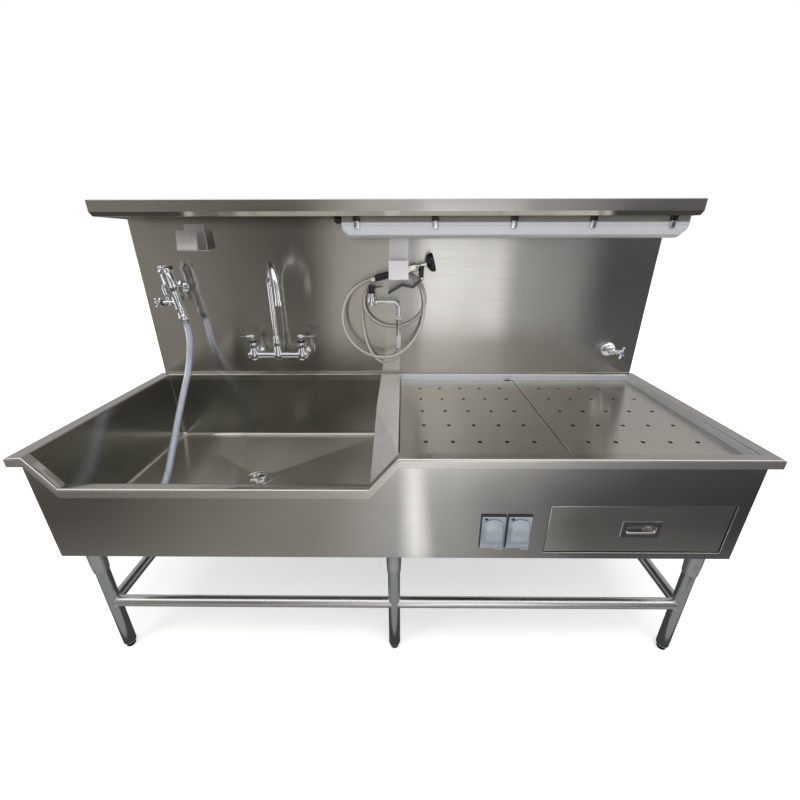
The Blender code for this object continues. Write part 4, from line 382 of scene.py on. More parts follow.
def oblong(x, y):
    """Corners of a rectangle."""
    return [(x[0], y[0]), (x[1], y[0]), (x[1], y[1]), (x[0], y[1])]


def fold(edge):
    """Angle of a bend, positive where it is an outside one."""
    return edge.calc_face_angle_signed(0.0) if len(edge.link_faces) == 2 else 0.0


def soften(bm, radius, chosen=None, segments=2, limit=0.5, clamp=True):
    """Round the outside edges sharper than a limit, or those of them that are chosen."""
    edges = [edge for edge in bm.edges if fold(edge) > limit and (chosen is None or chosen(edge))]
    bmesh.ops.bevel(bm, geom=edges, offset=radius, segments=segments, profile=0.5, affect="EDGES",
                    clamp_overlap=clamp)


def outwards(bm):
    """Turn all faces outwards."""
    bmesh.ops.recalc_face_normals(bm, faces=bm.faces[:])


def take_in(bm, other, slot=0):
    """Move the shapes of another bmesh into this one, with their normals outwards and a material slot."""
    outwards(other)
    for face in other.faces:
        face.material_index = slot
    mesh = bpy.data.meshes.new("shape")
    other.to_mesh(mesh)
    other.free()
    bm.from_mesh(mesh)
    bpy.data.meshes.remove(mesh)


def lathe(bm, profile, origin, axis=(0, 0, 1), sides=32, slot=0):
    """Add a turned body with its normals outwards and a material slot."""
    part = bmesh.new()
    turned(part, profile, origin, axis, sides)
    take_in(bm, part, slot)


def stand_in(obj, replaced, body="station", slot="brushed_stainless"):
    """The piece shows in place of CAD nodes and moves with a body. The slot is not used."""
    if replaced:
        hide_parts(*replaced.split())
    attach(obj, body)
    return obj


steel_long = brushed_steel("brushed_stainless_along", "X")
steel_deep = brushed_steel("brushed_stainless_across", "Y")
steel_tall = brushed_steel("brushed_stainless_upright", "Z", "#CFD2D2", 0.30, 0.1, 0.0, 0.92)

bm = bmesh.new()
for x in LEG_XS:
    left, right = max(x - CHANNEL_HALF, -BODY_HALF), min(x + CHANNEL_HALF, BODY_HALF)
    top = CHANNEL_LOW + CHANNEL_HEIGHT
    outline = [(left, top), (left, CHANNEL_LOW), (right, CHANNEL_LOW), (right, top), (right - SHEET, top),
               (right - SHEET, CHANNEL_LOW + SHEET), (left + SHEET, CHANNEL_LOW + SHEET),
               (left + SHEET, top)]
    part = bmesh.new()
    slab(part, outline, "Y", CHANNEL_Y)
    take_in(bm, part)
    mouth = CHANNEL_LOW - SOCKET_LENGTH
    for y in LEG_YS:
        lathe(bm, [(LEG_RADIUS + FIT, LEG_TOP + FIT), (LEG_RADIUS + FIT, mouth + 0.001),
                   (LEG_RADIUS + 0.001, mouth), (0.0228, mouth), (0.0232, mouth + 0.0008),
                   (0.0246, mouth + 0.030), (0.0250, mouth + 0.036), (0.0250, CHANNEL_LOW - 0.004),
                   (0.0262, CHANNEL_LOW - 0.0022), (0.0282, CHANNEL_LOW), (0.0282, CHANNEL_LOW + 0.0005),
                   (0.010, CHANNEL_LOW + 0.0005)], (x, y, 0), sides=40)
        inward = -1 if y > 0 else 1
        grub_screw = (x, y + inward * 0.0240, mouth + 0.062)
        lathe(bm, [(0, -0.002), (0.0042, -0.002), (0.0042, 0.0016), (0.0036, 0.0022), (0.0021, 0.0022),
                   (0.0021, 0.0004), (0, 0.0004)], grub_screw, (0, inward, 0), 18)
stand_in(place("leg_sockets", bm, steel_tall), "leg_channel_left leg_channel_middle leg_channel_right")


# Base: legs, rails and feet
# Six round stainless tubes stand in the sockets. Tubes between them are coped and welded at mid height.
# Screw-in bullet feet of dark steel level the station.

RAIL_RADIUS, RAIL_HEIGHT, BEAD_RADIUS = 0.019, 0.226, 0.0022
tube_tall = brushed_steel("satin_tube_upright", "Z", "#C9CECF", 0.22, 0.1, 0.0)
# the front rails' tube is a paler copy of the others: painted light, for their bright tone
tube_long = brushed_steel("satin_tube_along_painted_light", "X", "#E2E1E1", 0.26, 0.3, 0.0)
tube_deep = brushed_steel("satin_tube_across", "Y", "#CDD0D2", 0.26, 0.3, 0.0)

bm = bmesh.new()
inside = LEG_RADIUS - LEG_WALL
for x in LEG_XS:
    for y in LEG_YS:
        turned(bm, [(inside, LEG_BOTTOM), (LEG_RADIUS - 0.0005, LEG_BOTTOM),
                    (LEG_RADIUS, LEG_BOTTOM + 0.0006), (LEG_RADIUS, LEG_TOP), (inside, LEG_TOP)], (x, y, 0),
               sides=40)
legs = place("legs", bm, tube_tall)
stand_in(legs,
         "leg_front_left leg_front_middle leg_front_right leg_rear_left leg_rear_middle leg_rear_right")


def weld_bead(bm, post, way):
    """Thin bead round a rail where it meets a leg; way points from the leg along the rail."""
    way = Vector(way)
    side = Vector((-way.y, way.x, 0))
    line = []
    for n in range(36):
        a = math.tau * n / 36
        reach = math.sqrt(LEG_RADIUS ** 2 - (RAIL_RADIUS * math.cos(a)) ** 2) + 0.0006
        line.append(Vector(post) + way * reach + side * RAIL_RADIUS * math.cos(a)
                    + Vector((0, 0, RAIL_RADIUS * math.sin(a))))
    tube(bm, line, BEAD_RADIUS, 8, True)


left, middle, right = LEG_XS
front, rear = LEG_YS
for node, start, end, finish in (("front_rail_left", (left, front), (middle, front), tube_long),
                                 ("front_rail_right", (middle, front), (right, front), tube_long),
                                 ("side_rail_left", (left, front), (left, rear), tube_deep),
                                 ("side_rail_right", (right, front), (right, rear), tube_deep)):
    bm = bmesh.new()
    start, end = Vector((*start, RAIL_HEIGHT)), Vector((*end, RAIL_HEIGHT))
    way = (end - start).normalized()
    sunk = LEG_RADIUS * 0.6
    tube(bm, [start + way * sunk, start + way * 0.2, end - way * 0.2, end - way * sunk], RAIL_RADIUS, 40)
    weld_bead(bm, start, way)
    weld_bead(bm, end, -way)
    outwards(bm)
    stand_in(place(node + "_tube", bm, finish), node)

dark_steel = brushed_steel("oiled_dark_steel", "Z", "#1B1C1D", 0.45, 0.0, 0.0, 0.3)
bright_ring = brushed_steel("turned_steel_ring", "Z", "#E6E7E8", 0.25, 0.0, 0.0, 0.7)
for row, y in (("front", front), ("rear", rear)):
    for side, x in zip(("left", "middle", "right"), LEG_XS):
        bm = bmesh.new()
        top = LEG_BOTTOM - FIT
        lathe(bm, [(0, 0), (0.0130, 0), (0.0142, 0.0010), (0.0150, 0.0030), (0.0150, 0.0180), (0, 0.0180)],
              (x, y, 0), sides=36)
        lathe(bm, [(0, 0.0178), (0.0170, 0.0178), (0.0190, 0.0183), (0.0195, 0.0190), (0.0195, 0.0206),
                   (0.0190, top), (0.0180, top), (0.0180, 0.060), (0.0170, top + 0.040), (0, top + 0.040)],
              (x, y, 0), sides=36, slot=1)
        foot = place(f"foot_{row}_{side}_turned", bm, [dark_steel, bright_ring])
        stand_in(foot, f"foot_{row}_{side}", f"foot_{row[0]}{side[0]}", "dark_steel")


# Body sheets
# Front apron and two end sheets of brushed stainless, tucked up into the rim and folded in below.
# The apron has an opening for the drawer and two for the outlets; the edges of the bends are eased.


def merged(node, split=None):
    """Bmesh of a CAD node with its triangles joined into whole flat faces, per material after a split."""
    bm = bmesh.new()
    bm.from_mesh(nodes[node].data)
    bmesh.ops.remove_doubles(bm, verts=bm.verts[:], dist=2e-5)
    if split:
        split(bm)
    bmesh.ops.dissolve_limit(bm, angle_limit=math.radians(0.6), verts=bm.verts[:], edges=bm.edges[:],
                             delimit={"MATERIAL"})
    return bm


def eased(node, name, material, radius, chosen, body="station", segments=2):
    """Piece with the shape of a CAD node of sheet metal, its chosen bends rounded."""
    bm = merged(node)
    soften(bm, radius, chosen, segments)
    return stand_in(place(name, bm, material, even=True), node, body)


def keep(node, material):
    """A CAD node whose shape is right, in a better material."""
    mesh = nodes[node].data
    mesh.materials.clear()
    mesh.materials.append(material)


APRON_FACE = -0.377
eased("front_apron", "front_apron_sheet", steel_long, 0.0018,
      lambda edge: all(vert.co.y < APRON_FACE + 0.0002 for vert in edge.verts))
for node in ("left_end_panel", "right_end_panel"):
    eased(node, node + "_sheet", steel_deep, 0.0016, lambda edge: edge.calc_length() > 0.3
          and edge.verts[0].co.z < 0.5)


# Rim of the top
# Stainless sheet, bent down all round as a channel, dipped at the sink so that an arm can reach over,
# with a strip between sink and worktop. Its bends are rounded, its corners welded and brushed.

RIM_BEND = 0.0065            # outside radius of the bends
STRIP_BEND = 0.0020
RIM_LIP, RECESS_BACK, RECESS_END = -0.380, 0.30, (1.0, 1.05)
STRIP_X, STRIP_Y = (-0.080, 0.030), (-0.370, 0.326)


def rim_edge(edge):
    """A bend of the rim's outside, between its top and a skirt, or at an outer corner."""
    ups = [face.normal.z for face in edge.link_faces]
    upright, level = sorted(abs(up) for up in ups)
    return edge.calc_length() > 0.012 and upright < 0.3 and level > 0.4 and sum(ups) > 0.4


def on_strip(spot):
    """Whether a point is on the strip between sink and worktop, or on the slope at its front."""
    return STRIP_X[0] < spot.x < STRIP_X[1] and STRIP_Y[0] < spot.y < STRIP_Y[1]


def strip_edge(edge):
    """Whether an edge is on the strip."""
    return on_strip((edge.verts[0].co + edge.verts[1].co) / 2)


def mark_strip(bm):
    """Part the top of the strip from the rest of the rim's top."""
    for cut in STRIP_Y:
        bmesh.ops.bisect_plane(bm, geom=bm.verts[:] + bm.edges[:] + bm.faces[:], plane_co=(0, cut, 0),
                               plane_no=(0, 1, 0))
    bm.normal_update()
    for face in bm.faces:
        # the strip's top takes slot 2, the paler steel with painted light
        face.material_index = 2 if face.normal.z > 0.4 and on_strip(face.calc_center_median()) else 0


# a paler, bluer, less metallic copy of the steel on the rim's inner walls behind the covers and at the
# right end: painted reflection of pale light
mill_finish = brushed_steel("stainless_recess_painted_reflection", "X", "#DCE1E8", 0.30, 0.0, 0.0, 0.66)
# a dark, dull copy of the steel: painted shade on the rim's undersides and inside its front skirt, and in
# the pan under the covers, so that the holes read dark
pickled_steel = brushed_steel("stainless_painted_shade", "X", "#55544F", 0.5, 0.0, 0.0)
# a paler, less metallic copy of the steel on the strip's top: painted light, for its light tone
strip_steel = brushed_steel("brushed_stainless_strip_painted_light", "X", "#E6E4E1", 0.26, 0.8, 0.3, 0.78)
# a paler, softer copy of the steel on the front face of the rim's lip: painted sheen, for the light band
# along it
lip_steel = brushed_steel("brushed_stainless_lip_painted_sheen", "X", "#CAC7C1", 0.28, 0.5, 0.0, 0.90)
bm = merged("deck_rim", mark_strip)
soften(bm, STRIP_BEND, lambda edge: rim_edge(edge) and strip_edge(edge), 3)
soften(bm, RIM_BEND, lambda edge: rim_edge(edge) and not strip_edge(edge), 4, clamp=False)
for face in bm.faces:
    spot, way = face.calc_center_median(), face.normal
    on_lip = spot.y < RIM_LIP
    recess_back = way.y < -0.9 and spot.y > RECESS_BACK and spot.x > 0.0
    recess_end = way.x < -0.9 and RECESS_END[0] < spot.x < RECESS_END[1]
    # the recess walls take the painted reflection
    if recess_back or recess_end:
        face.material_index = 1
    # undersides and the inside of the front skirt take the painted shade
    elif way.z < -0.5 or (way.y > 0.5 and on_lip):
        face.material_index = 3
    # the front face of the lip takes the painted sheen
    elif way.y < -0.2 and on_lip:
        face.material_index = 4
rim_finishes = [steel_long, mill_finish, strip_steel, pickled_steel, lip_steel]
stand_in(place("deck_rim_sheet", bm, rim_finishes, even=True), "deck_rim")


# Sink bowl
# Deep bowl of stainless sheet, welded under the rim, with coved edges at its floor. The floor is creased
# from its four corners towards the drain; the front wall is lower, under the dip of the rim.

BOWL_X, BOWL_Y = (-1.022, -0.066), (-0.364, 0.325)
BOWL_TOP, BOWL_FLOOR, BOWL_FALL, BOWL_COVE = 0.8357, 0.559, 0.020, 0.018
DIP_DEPTH, DIP_RUN, GUSSET_BACK = 0.102, 0.067, -0.020
DRAIN_X, DRAIN_Y, DRAIN_SEAT, DRAIN_HOLE = -0.544, -0.0195, 0.064, 0.0445
COVE_STEPS = 7
CORNER_RADIUS, CORNER_STEPS = 0.016, 6
# The bowl's steels are darker copies of the sheet's steel: painted shade inside the deep bowl. The end
# walls' copy has its grain along Y.
bowl_steel = brushed_steel("brushed_stainless_bowl_painted_shade", "X", "#B4B3AC", 0.18, 0.80, 0.6)
bowl_floor_steel = brushed_steel("brushed_stainless_bowl_floor", "X", "#BAB8AF", 0.18, 0.80, 0.6)
bowl_end_steel = brushed_steel("brushed_stainless_bowl_end", "Y", "#B4B4AE", 0.20, 0.0, 0.3)


def bowl_top(x, y):
    """Height of the bowl's wall at a point of its top edge."""
    drop = 0.0
    if y < BOWL_Y[0] + 0.003:
        drop = min(max((x - BOWL_X[0]) / DIP_RUN, 0.0), 1.0)
    if x > BOWL_X[1] - 0.003:
        drop = max(drop, min(max((GUSSET_BACK - y) / (GUSSET_BACK - BOWL_Y[0]), 0.0), 1.0))
    return BOWL_TOP - DIP_DEPTH * drop


# shares of each side at which it has a point: even steps, and the ends of the slopes
EVEN = [(n + 0.5) / 16 for n in range(16)]
DIP_SHARE = DIP_RUN / (BOWL_X[1] - BOWL_X[0])
GUSSET_SHARE = (GUSSET_BACK - BOWL_Y[0]) / (BOWL_Y[1] - BOWL_Y[0])
SIDES = [sorted(EVEN + [DIP_SHARE]), sorted(EVEN + [GUSSET_SHARE]), EVEN, EVEN]


def bowl_ring(grow, z, radius):
    """Points round the bowl with rounded corners, grown by some width; z is a height or the word top."""
    corners = [(BOWL_X[0] - grow, BOWL_Y[0] - grow), (BOWL_X[1] + grow, BOWL_Y[0] - grow),
               (BOWL_X[1] + grow, BOWL_Y[1] + grow), (BOWL_X[0] - grow, BOWL_Y[1] + grow)]
    ring = []
    for number, parts in enumerate(SIDES):
        start, end = corners[number], corners[(number + 1) % 4]
        inward = (1 if start[0] < DRAIN_X else -1, 1 if start[1] < DRAIN_Y else -1)
        for step in range(CORNER_STEPS + 1):
            a = math.radians(180 + 90 * number + 90 * step / CORNER_STEPS)
            ring.append((start[0] + radius * (inward[0] + math.cos(a)),
                         start[1] + radius * (inward[1] + math.sin(a))))
        ring += [(start[0] + (end[0] - start[0]) * share, start[1] + (end[1] - start[1]) * share)
                 for share in parts]
    return [(x, y, bowl_top(x, y) if z == "top" else z) for x, y in ring]


def drain_ring(radius, z):
    """As many points round the drain."""
    turns = []
    for number, parts in enumerate(SIDES):
        turns += [90 * number + 1.2 * (step / CORNER_STEPS - 0.5) for step in range(CORNER_STEPS + 1)]
        turns += [90 * (number + share) for share in parts]
    return [(DRAIN_X + radius * math.cos(a), DRAIN_Y + radius * math.sin(a), z)
            for a in (math.radians(225 + turn) for turn in turns)]


def cove_rings(thick):
    """Rings down the round edge at the floor, on the inside or a sheet further out."""
    rings = []
    bend = BOWL_COVE + thick
    for n in range(COVE_STEPS + 1):
        a = math.pi / 2 * n / COVE_STEPS
        grow, z = bend * math.cos(a) - BOWL_COVE, BOWL_FLOOR + BOWL_COVE - bend * math.sin(a)
        rings.append(bowl_ring(grow, z, CORNER_RADIUS))
    return rings


bowl_low = BOWL_FLOOR - BOWL_FALL
section = [bowl_ring(0, "top", 0.001)] + cove_rings(0)
section += [drain_ring(DRAIN_SEAT, bowl_low), drain_ring(DRAIN_HOLE, bowl_low)]
section += [drain_ring(DRAIN_HOLE, bowl_low - SHEET), drain_ring(DRAIN_SEAT, bowl_low - SHEET)]
section += cove_rings(SHEET)[::-1] + [bowl_ring(SHEET, "top", 0.001)]
bm = bmesh.new()
rings = [[bm.verts.new(point) for point in ring] for ring in section]
for near, far in zip(rings, rings[1:] + rings[:1]):
    skin(bm, near, far)
outwards(bm)
for face in bm.faces:
    # all the bowl's faces take painted shade: the end walls, the floor and the rest each their own darker
    # copy
    face.material_index = 1 if abs(face.normal.x) > 0.75 else 2 if face.normal.z > 0.9 else 0
bowl_finishes = [bowl_steel, bowl_end_steel, bowl_floor_steel]
stand_in(place("sink_bowl_sheet", bm, bowl_finishes, 40, even=True), "sink_bowl")


# Drain and strainer
# Flange, cup and tailpiece of turned stainless, clamped round the bowl's drain hole. A dished strainer
# with two rings of holes and a lifting knob hangs in the cup.


def polished_chrome(name, code="#E3E5E9", rough=0.07):
    """Plated brass or bright steel: the eye gets a mirror with faint waves and a little dulling."""
    material, tree, shader = new_material(name)
    shader.inputs["Metallic"].default_value = 1.0
    spot = add(tree, "ShaderNodeTexCoord").outputs["Object"]
    dull = add(tree, "ShaderNodeTexNoise", {}, {"Vector": spot, "Scale": 1 / 0.02, "Detail": 3.0})
    gloss = add(tree, "ShaderNodeMapRange", {},
                {"Value": dull.outputs["Fac"], "From Min": 0.3, "From Max": 0.7,
                 "To Min": rough - 0.03, "To Max": rough + 0.05})
    tree.links.new(gloss.outputs["Result"], shader.inputs["Roughness"])
    tone = add(tree, "ShaderNodeValToRGB", {}, {"Fac": dull.outputs["Fac"]})
    base = srgb(code)
    tone.color_ramp.elements[0].color = (*[c * 0.9 for c in base[:3]], 1.0)
    tone.color_ramp.elements[1].color = base
    tree.links.new(tone.outputs["Color"], shader.inputs["Base Color"])
    cast = add(tree, "ShaderNodeTexNoise", {}, {"Vector": spot, "Scale": 1 / 0.012, "Detail": 1.0})
    waves = add(tree, "ShaderNodeBump", {},
                {"Height": cast.outputs["Fac"], "Strength": 0.3, "Distance": 0.0004})
    tree.links.new(waves.outputs["Normal"], shader.inputs["Normal"])
    return material


chrome = polished_chrome("polished_chrome")
# turned stainless, dulled by use: the rings show, with soft highlights
drain_steel = polished_chrome("satin_stainless_drain", "#D0D0CD", 0.12)
FLANGE_LOW = bowl_low + FIT
flange_top = FLANGE_LOW + SHEET
clamp_top = bowl_low - SHEET - FIT
cup_low = clamp_top - 0.045
bm = bmesh.new()
turned(bm, [(0.0405, flange_top), (0.0450, flange_top), (0.0462, flange_top - 0.0009),
            (0.0510, flange_top - 0.0009), (0.0524, flange_top + 0.0009), (0.0548, flange_top + 0.0009),
            (0.0566, flange_top - 0.0002), (0.057, FLANGE_LOW), (0.0439, FLANGE_LOW), (0.0439, clamp_top),
            (0.057, clamp_top), (0.057, clamp_top - 0.010), (0.0439, clamp_top - 0.010),
            (0.035, cup_low), (0.022, cup_low - 0.004), (0.019, cup_low - 0.008), (0.019, cup_low - 0.120),
            (0.0175, cup_low - 0.120), (0.0175, cup_low), (0.030, cup_low + 0.008),
            (0.0385, cup_low + 0.026), (0.0400, clamp_top - 0.010), (0.0400, flange_top - 0.001)],
       (DRAIN_X, DRAIN_Y, 0), sides=64)
stand_in(place("sink_drain_turned", bm, drain_steel), "sink_drain", slot="polished_chrome")


def line_curve(name, line, closed=False):
    """Poly curve through points."""
    curve = bpy.data.curves.new(name, "CURVE")
    curve.dimensions = "3D"
    spline = curve.splines.new("POLY")
    spline.use_cyclic_u = closed
    spline.points.add(len(line) - 1)
    for knot, point in zip(spline.points, line):
        knot.co = (*point, 1.0)
    obj = bpy.data.objects.new(name, curve)
    scene.collection.objects.link(obj)
    return obj


def grown(name, line, tree_maker, material, closed=False, **sizes):
    """Mesh that a Geometry Nodes tree makes from a line; the tree's named inputs take the sizes."""
    guide = line_curve(name, line, closed)
    group = bpy.data.node_groups.new(name, "GeometryNodeTree")
    group.interface.new_socket("Geometry", in_out="INPUT", socket_type="NodeSocketGeometry")
    group.interface.new_socket("Geometry", in_out="OUTPUT", socket_type="NodeSocketGeometry")
    sockets = {key: group.interface.new_socket(key, in_out="INPUT",
                                               socket_type="NodeSocketFloat").identifier for key in sizes}
    entry = add(group, "NodeGroupInput")
    real = add(group, "GeometryNodeRealizeInstances", {}, {0: tree_maker(group, entry)})
    painted = add(group, "GeometryNodeSetMaterial", {}, {"Geometry": real.outputs[0], "Material": material})
    add(group, "NodeGroupOutput", {}, {0: painted.outputs[0]})
    modifier = guide.modifiers.new(name, "NODES")
    modifier.node_group = group
    for key, value in sizes.items():
        modifier[sockets[key]] = value
    bpy.context.view_layer.update()
    mesh = bpy.data.meshes.new_from_object(guide.evaluated_get(bpy.context.evaluated_depsgraph_get()))
    bpy.data.objects.remove(guide)
    mesh.name = name
    mesh.shade_smooth()
    mesh.set_sharp_from_angle(angle=math.radians(40))
    obj = bpy.data.objects.new(name, mesh)
    scene.collection.objects.link(obj)
    return obj


def opened(obj):
    """Bmesh of an object's mesh; the object itself goes."""
    bm = bmesh.new()
    bm.from_mesh(obj.data)
    bpy.data.objects.remove(obj)
    return bm


def punched(group, outline, spots, entry):
    """Plate of the outline's area with a round hole at each spot, from its low side up to its thickness."""
    ring = add(group, "GeometryNodeCurvePrimitiveCircle", {},
               {"Resolution": 20, "Radius": entry.outputs["Hole"]})
    holes = add(group, "GeometryNodeInstanceOnPoints", {}, {"Points": spots, "Instance": ring.outputs[0]})
    holes = add(group, "GeometryNodeRealizeInstances", {}, {0: holes.outputs[0]})
    both = add(group, "GeometryNodeJoinGeometry")
    group.links.new(outline, both.inputs[0])
    group.links.new(holes.outputs[0], both.inputs[0])
    flat = add(group, "GeometryNodeFillCurve", {}, {0: both.outputs[0]})
    raised = add(group, "GeometryNodeExtrudeMesh", {},
                 {"Mesh": flat.outputs[0], "Offset Scale": entry.outputs["Sheet"], "Individual": False})
    under = add(group, "GeometryNodeFlipFaces", {}, {0: flat.outputs[0]})
    whole = add(group, "GeometryNodeJoinGeometry")
    group.links.new(raised.outputs[0], whole.inputs[0])
    group.links.new(under.outputs[0], whole.inputs[0])
    closed = add(group, "GeometryNodeMergeByDistance", {}, {0: whole.outputs[0], "Distance": 0.00005})
    lift = add(group, "ShaderNodeCombineXYZ", {}, {"Z": entry.outputs["Height"]})
    return add(group, "GeometryNodeTransform", {},
               {0: closed.outputs[0], "Translation": lift.outputs[0]}).outputs[0]


STRAINER_SEAT = flange_top + FIT
STRAINER_LOW = STRAINER_SEAT - 0.026
STRAINER_FLOOR = 0.0277


def strainer_floor(group, entry):
    """Floor of the strainer with two rings of holes."""
    spots = add(group, "GeometryNodeJoinGeometry")
    for count, share in ((8, 0.62), (16, 0.86)):
        radius = add(group, "ShaderNodeMath", {"operation": "MULTIPLY"},
                     {0: entry.outputs["Floor"], 1: share})
        ring = add(group, "GeometryNodeCurvePrimitiveCircle", {},
                   {"Resolution": count, "Radius": radius.outputs[0]})
        group.links.new(add(group, "GeometryNodeCurveToPoints", {"mode": "EVALUATED"},
                            {0: ring.outputs[0]}).outputs[0], spots.inputs[0])
    centre = add(group, "GeometryNodeTransform", {},
                 {0: spots.outputs[0], "Translation": (DRAIN_X, DRAIN_Y, 0)})
    return punched(group, entry.outputs[0], centre.outputs[0], entry)


rim_line = [(DRAIN_X + STRAINER_FLOOR * math.cos(a), DRAIN_Y + STRAINER_FLOOR * math.sin(a), 0)
            for a in (math.tau * n / 48 for n in range(48))]
floor_plate = grown("strainer_floor", rim_line, strainer_floor, drain_steel, True, Floor=STRAINER_FLOOR,
                    Hole=0.0021, Sheet=0.0012, Height=STRAINER_LOW)
bm = opened(floor_plate)
seat = STRAINER_SEAT
turned(bm, [(0.0272, STRAINER_LOW), (0.0282, STRAINER_LOW + 0.0006), (0.0375, seat), (0.0440, seat),
            (0.0445, seat + 0.0007), (0.0440, seat + 0.0015), (0.0362, seat + 0.0015),
            (0.0352, seat + 0.0006), (0.0268, STRAINER_LOW + 0.0012)], (DRAIN_X, DRAIN_Y, 0), sides=48)
turned(bm, [(0, STRAINER_LOW + 0.0006), (0.0048, STRAINER_LOW + 0.0006), (0.0048, STRAINER_LOW + 0.002),
            (0.0026, STRAINER_LOW + 0.003), (0.0024, seat - 0.009), (0.0050, seat - 0.0065),
            (0.0060, seat - 0.0045), (0.0060, seat - 0.001), (0.0052, seat + 0.0004), (0, seat + 0.001)],
       (DRAIN_X, DRAIN_Y, 0), sides=28)
stand_in(place("strainer_turned", bm, drain_steel), "strainer_basket", "strainer_body", "polished_chrome")


# Work pan and perforated covers
# A shallow drained pan, welded under the rim, with ledges. Two lift-out covers of thicker sheet lie on
# them, each punched with five rows of holes; the left one has a finger notch at its back corner.

COVER_LOW, COVER_SHEET = 0.8347, 0.003
COVER_Y = (-0.3625, 0.3235)
HOLE_COUNT, HOLE_PITCH, HOLE_RADIUS = 5, (0.084, 0.116), 0.0068
cover_steel = brushed_steel("brushed_stainless_cover", "X", "#CFCBC2", 0.18, 0.9, 0.8)
# the pan is dark with painted shade, so that the holes in the covers read dark
keep("work_pan", pickled_steel)


def hole_rows(group, entry):
    """Rows of holes about the cover's middle."""
    spread = []
    for key in ("Pitch_X", "Pitch_Y"):
        spread.append(add(group, "ShaderNodeMath", {"operation": "MULTIPLY"},
                          {0: entry.outputs[key], 1: HOLE_COUNT - 1.0}).outputs[0])
    grid = add(group, "GeometryNodeMeshGrid", {}, {"Size X": spread[0], "Size Y": spread[1],
                                                   "Vertices X": HOLE_COUNT, "Vertices Y": HOLE_COUNT})
    middle = add(group, "ShaderNodeCombineXYZ", {},
                 {"X": entry.outputs["Middle_X"], "Y": entry.outputs["Middle_Y"]})
    spots = add(group, "GeometryNodeTransform", {}, {0: grid.outputs[0], "Translation": middle.outputs[0]})
    return punched(group, entry.outputs[0], spots.outputs[0], entry)


for name, (left, right), notch in (("cover_left", (0.0195, 0.5183), True),
                                   ("cover_right", (0.5217, 1.0205), False)):
    outline = oblong((left, right), COVER_Y)
    if notch:
        outline[3:3] = [(right - 0.0085, COVER_Y[1]), (right - 0.0085, COVER_Y[1] - 0.016),
                        (right - 0.034, COVER_Y[1] - 0.016), (right - 0.034, COVER_Y[1])]
    plate = grown(name + "_punched", [(*point, 0) for point in outline], hole_rows, cover_steel,
                  True, Pitch_X=HOLE_PITCH[0], Pitch_Y=HOLE_PITCH[1], Hole=HOLE_RADIUS, Sheet=COVER_SHEET,
                  Height=COVER_LOW, Middle_X=(left + right) / 2, Middle_Y=sum(COVER_Y) / 2)
    bm = opened(plate)
    top = COVER_LOW + COVER_SHEET - 0.0001
    soften(bm, 0.0026, lambda edge: edge.calc_length() > 0.2
           and all(vert.co.z > top for vert in edge.verts), 3, clamp=False)
    stand_in(place(name + "_folded", bm, cover_steel, 40, even=True), name, name + "_body")


# Back panel and shelf
# A folded panel of brushed stainless rises behind the top. The shelf on it is an inverted pan whose front
# lip ends in a fold at 45 degrees, so that no sharp edge faces the hands.

SHELF_HALF, SHELF_FRONT, SHELF_BACK = 1.0573, 0.160, 0.400
SHELF_LOW, SHELF_TOP, SHELF_FOLD = 1.494, 1.546, 0.014
PANEL_FACE = 0.350
bm = merged("back_panel")
soften(bm, 0.0018, lambda edge: edge.calc_length() > 0.5
       and all(vert.co.y < PANEL_FACE + 0.001 for vert in edge.verts), 3)
stand_in(place("back_panel_sheet", bm, steel_long, smooth=1), "back_panel")

bm = bmesh.new()
section = [(SHELF_BACK, SHELF_TOP), (SHELF_FRONT, SHELF_TOP), (SHELF_FRONT, SHELF_LOW + SHELF_FOLD),
           (SHELF_FRONT + SHELF_FOLD, SHELF_LOW), (SHELF_FRONT + 2 * SHELF_FOLD, SHELF_LOW),
           (SHELF_BACK, SHELF_LOW)]
slab(bm, section, "X", (-SHELF_HALF, SHELF_HALF))
outwards(bm)
soften(bm, 0.003, lambda edge: all(vert.co.z > SHELF_TOP - 0.006 for vert in edge.verts)
       and min(vert.co.y for vert in edge.verts) < SHELF_FRONT + 0.04 and edge.calc_length() > 0.1, 3)
soften(bm, 0.0015, lambda edge: all(abs(vert.co.x) > SHELF_HALF - 0.007 for vert in edge.verts)
       and edge.calc_length() > 0.01)
gone = [face for face in bm.faces if face.normal.y > 0.9
        or (face.normal.z < -0.9 and face.calc_center_median().y > SHELF_FRONT + 2 * SHELF_FOLD)]
bmesh.ops.delete(bm, geom=gone, context="FACES")
stand_in(place("top_shelf_sheet", bm, steel_long, sheet=SHEET, even=True), "top_shelf")


# Drawer
# A folded steel drawer on runners in a sleeve behind the apron. Its hollow front lies just behind the
# apron's face, with eased edges, and carries a chromed recessed pull. A black rubber seal lines the
# opening and is also painted shade for the dark gap round the drawer front.

DRAWER_FACE = -0.374
DRAWER_HOLE_X, DRAWER_HOLE_Z = (0.466, 1.012), (0.516, 0.693)
SEAL_BEHIND, SEAL_SHOWS, SEAL_Y = 0.0015, 0.0021, (-0.3746, -0.3728)
PULL_X, PULL_Z, PULL_HALF, PULL_TALL = 0.750, 0.606, 0.0595, 0.030
keep("drawer_housing", steel_deep)
drawer_steel = brushed_steel("brushed_stainless_drawer", "X", "#D9D5CC", 0.20, 0.9, 0.6)
eased("drawer", "drawer_sheet", drawer_steel, 0.0022,
      lambda edge: all(vert.co.y < DRAWER_FACE + 0.0002 for vert in edge.verts), "drawer_body", 3)


